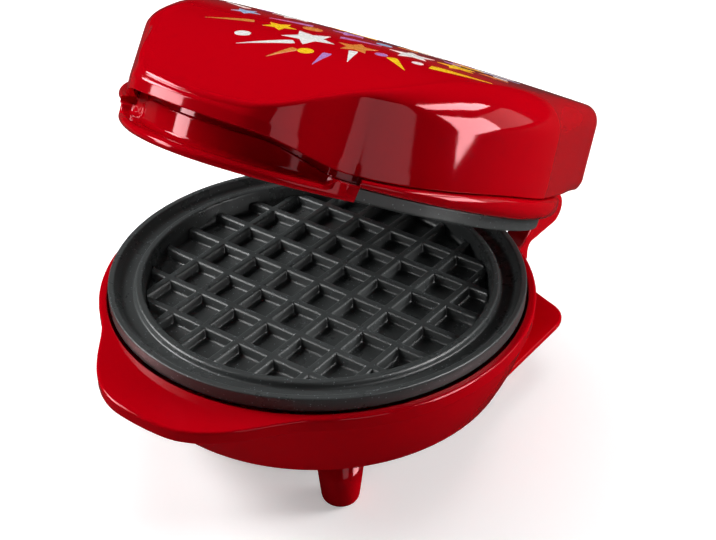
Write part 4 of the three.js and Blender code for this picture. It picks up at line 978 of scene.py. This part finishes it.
# %% Cord bush
BUSH_Z, BUSH_BORE, BUSH_BODY, BUSH_RIM, SEAT_DEPTH = -21.5, 3.2, 4.6, 6.5, 0.5
seat_y = bowl_radius(BUSH_Z) - SEAT_DEPTH
tail_y = bowl_radius(BUSH_Z) - WALL - 2
bush_outline = np.array([
    [BUSH_BORE, tail_y], [BUSH_BODY, tail_y], [BUSH_BODY, seat_y], [BUSH_RIM, seat_y],
    [BUSH_RIM, seat_y + 1.2], [5.2, seat_y + 2], [BUSH_BORE, seat_y + 2],
])
bush_turned = turned(soften(bush_outline, [0.2, 0.2, 0.1, 0.3, 0.5, 0.4, 0.5]), 64)
bush_grid = np.stack([bush_turned[..., 0], bush_turned[..., 2], bush_turned[..., 1] + BUSH_Z], -1)
piece("cord_bush", [(bush_grid, True, True)], "black_plastic", "base", "cord_inlet_bush")

# %% [markdown]
# ## Stage and light
# A wide pale floor and a white room show behind the object and keep its shadow. Both return
# less light than they show, since the photograph's walls are deep and dark. A glow keeps the
# floor even: it grows from 0.35 near the object to 1 beyond the lamps' reach. A dark tent is
# seen in the gloss alone, as a photographer hangs one to keep white out of polished plastic.


# %% Floor
def grey(value):
    """A grey in linear light."""
    return value, value, value, 1.0


def shown_rays(tree):
    """A mask of the rays that show the background: from the camera, in gloss, through glass."""
    path = tree.nodes.new("ShaderNodeLightPath")
    seen = math_node(tree, "MAXIMUM", path.outputs["Is Camera Ray"], path.outputs["Is Glossy Ray"])
    return math_node(tree, "MAXIMUM", seen, path.outputs["Is Transmission Ray"])


def stage_mesh(name, points, faces, material):
    """A mesh of the stage, which is not part of the object."""
    data = bpy.data.meshes.new(name)
    data.from_pydata(points, [], faces)
    data.materials.append(material)
    sheet = bpy.data.objects.new(name, data)
    scene.collection.objects.link(sheet)
    return sheet


FLOOR_HALF, SQUARE = 30, ((-1, -1), (1, -1), (1, 1), (-1, 1))
GLOW_NEAR, GLOW_FAR, GLOW_LEAST = 0.4, 1.2, 0.35
pale_floor, tree, shader = start_finish("pale_floor", Roughness=0.9, Specular_IOR_Level=0.0)
seen = shown_rays(tree)
tree.links.new(mix_colours(tree, seen, grey(0.6), grey(0.97)), shader.inputs["Base Color"])
position = tree.nodes.new("ShaderNodeTexCoord")
distance = add(tree, "ShaderNodeVectorMath", operation="LENGTH")
tree.links.new(position.outputs["Object"], distance.inputs[0])
glow = map_range(tree, distance.outputs["Value"], GLOW_NEAR, GLOW_FAR, GLOW_LEAST, 1.0)
tree.links.new(math_node(tree, "MULTIPLY", seen, glow), shader.inputs["Emission Color"])
shader.inputs["Emission Strength"].default_value = 1.0
floor_corners = [(FLOOR_HALF * i, FLOOR_HALF * j, 0) for i, j in SQUARE]
stage_mesh("floor", floor_corners, [(0, 1, 2, 3)], pale_floor)
print("the floor is", 2 * FLOOR_HALF, "m wide")

# %% Dark tent
TENT_HALF, TENT_TOP, TENT_LOW = 4, 4, 0.0002
CLOTH_GREY = grey(0.025)
dark_cloth = start_finish("dark_cloth", Roughness=0.9, Specular_IOR_Level=0.0, Base_Color=CLOTH_GREY)[0]
sides = (-TENT_HALF, TENT_HALF)
tent_corners = [(x, y, z) for z in (TENT_LOW, TENT_TOP) for y in sides for x in sides]
tent_faces = [(0, 1, 3, 2), (4, 6, 7, 5), (0, 4, 5, 1), (1, 5, 7, 3), (3, 7, 6, 2), (2, 6, 4, 0)]
tent = stage_mesh("dark_tent", tent_corners, tent_faces, dark_cloth)
tent.visible_camera = tent.visible_diffuse = tent.visible_shadow = tent.visible_transmission = False

# %% World
world = bpy.data.worlds.new("studio")
scene.world = world
world.use_nodes = True
sky = world.node_tree
room = mix_colours(sky, shown_rays(sky), grey(0.04), grey(1.0))
sky.links.new(room, sky.nodes["Background"].inputs["Color"])

# %% [markdown]
# ## Lamps
# Broad boxes light the colours and are not mirrored. Six windows are only mirrored: one
# to the left draws the white pane on the nose, one above it picks out the crisp edges of nose
# and plate, a dim one stands beside the camera, a bright one on the right lies along the
# shoulder, and a strip above it and a broad glow behind it complete the streaks there.


# %% Lamps
NOSE_Y, NOSE_Z = -0.05, 0.13


def soft_box(name, at, towards, size, power, mirrored):
    """A rectangular lamp that looks at a point, both in metres. It is either broad light or a
    window that shows in the gloss alone."""
    data = bpy.data.lights.new(name, "AREA")
    data.shape = "RECTANGLE"
    data.size, data.size_y = size
    data.energy = power
    lamp = bpy.data.objects.new(name, data)
    lamp.location = at
    lamp.rotation_mode = "QUATERNION"
    lamp.rotation_quaternion = (Vector(towards) - Vector(at)).to_track_quat("-Z", "Y")
    lamp.visible_glossy = mirrored
    lamp.visible_diffuse = not mirrored
    scene.collection.objects.link(lamp)
    print(name, power, "W,", "mirrored" if mirrored else "broad")


def from_lid(degrees, height, reach):
    """A place seen from the lid near its nose: degrees round from the front, degrees up,
    metres away."""
    a, h = np.radians(degrees), np.radians(height)
    out = reach * np.cos(h)
    return (out * np.sin(a), NOSE_Y - out * np.cos(a), NOSE_Z + reach * np.sin(h))


lid_middle = (0.02, -0.03, 0.12)
soft_box("overhead_box", (-0.2, 0.35, 1.2), (0, 0, 0.05), (1.2, 0.9), 8.4, False)
soft_box("right_box", (0.8, 0.85, 0.36), (0, 0, 0.08), (0.6, 0.45), 16, False)
soft_box("left_box", (-0.95, -0.3, 0.62), (0, -0.02, 0.05), (0.6, 0.6), 14.5, False)
soft_box("left_window", from_lid(-50, 17, 0.9), lid_middle, (0.28, 0.38), 4.5, True)
soft_box("edge_window", from_lid(-72, 32, 1.0), lid_middle, (0.3, 0.4), 7.5, True)
soft_box("camera_window", from_lid(60, 15, 1.0), lid_middle, (0.4, 0.5), 0.95, True)
soft_box("shoulder_window", from_lid(104, 10, 1.0), lid_middle, (0.42, 0.42), 9.5, True)
soft_box("upper_window", from_lid(118, 36, 1.0), lid_middle, (0.8, 0.13), 6.5, True)
soft_box("shoulder_glow", from_lid(130, 12, 1.3), lid_middle, (0.7, 0.6), 1.8, True)

# %% View
scene.view_settings.view_transform = "Standard"
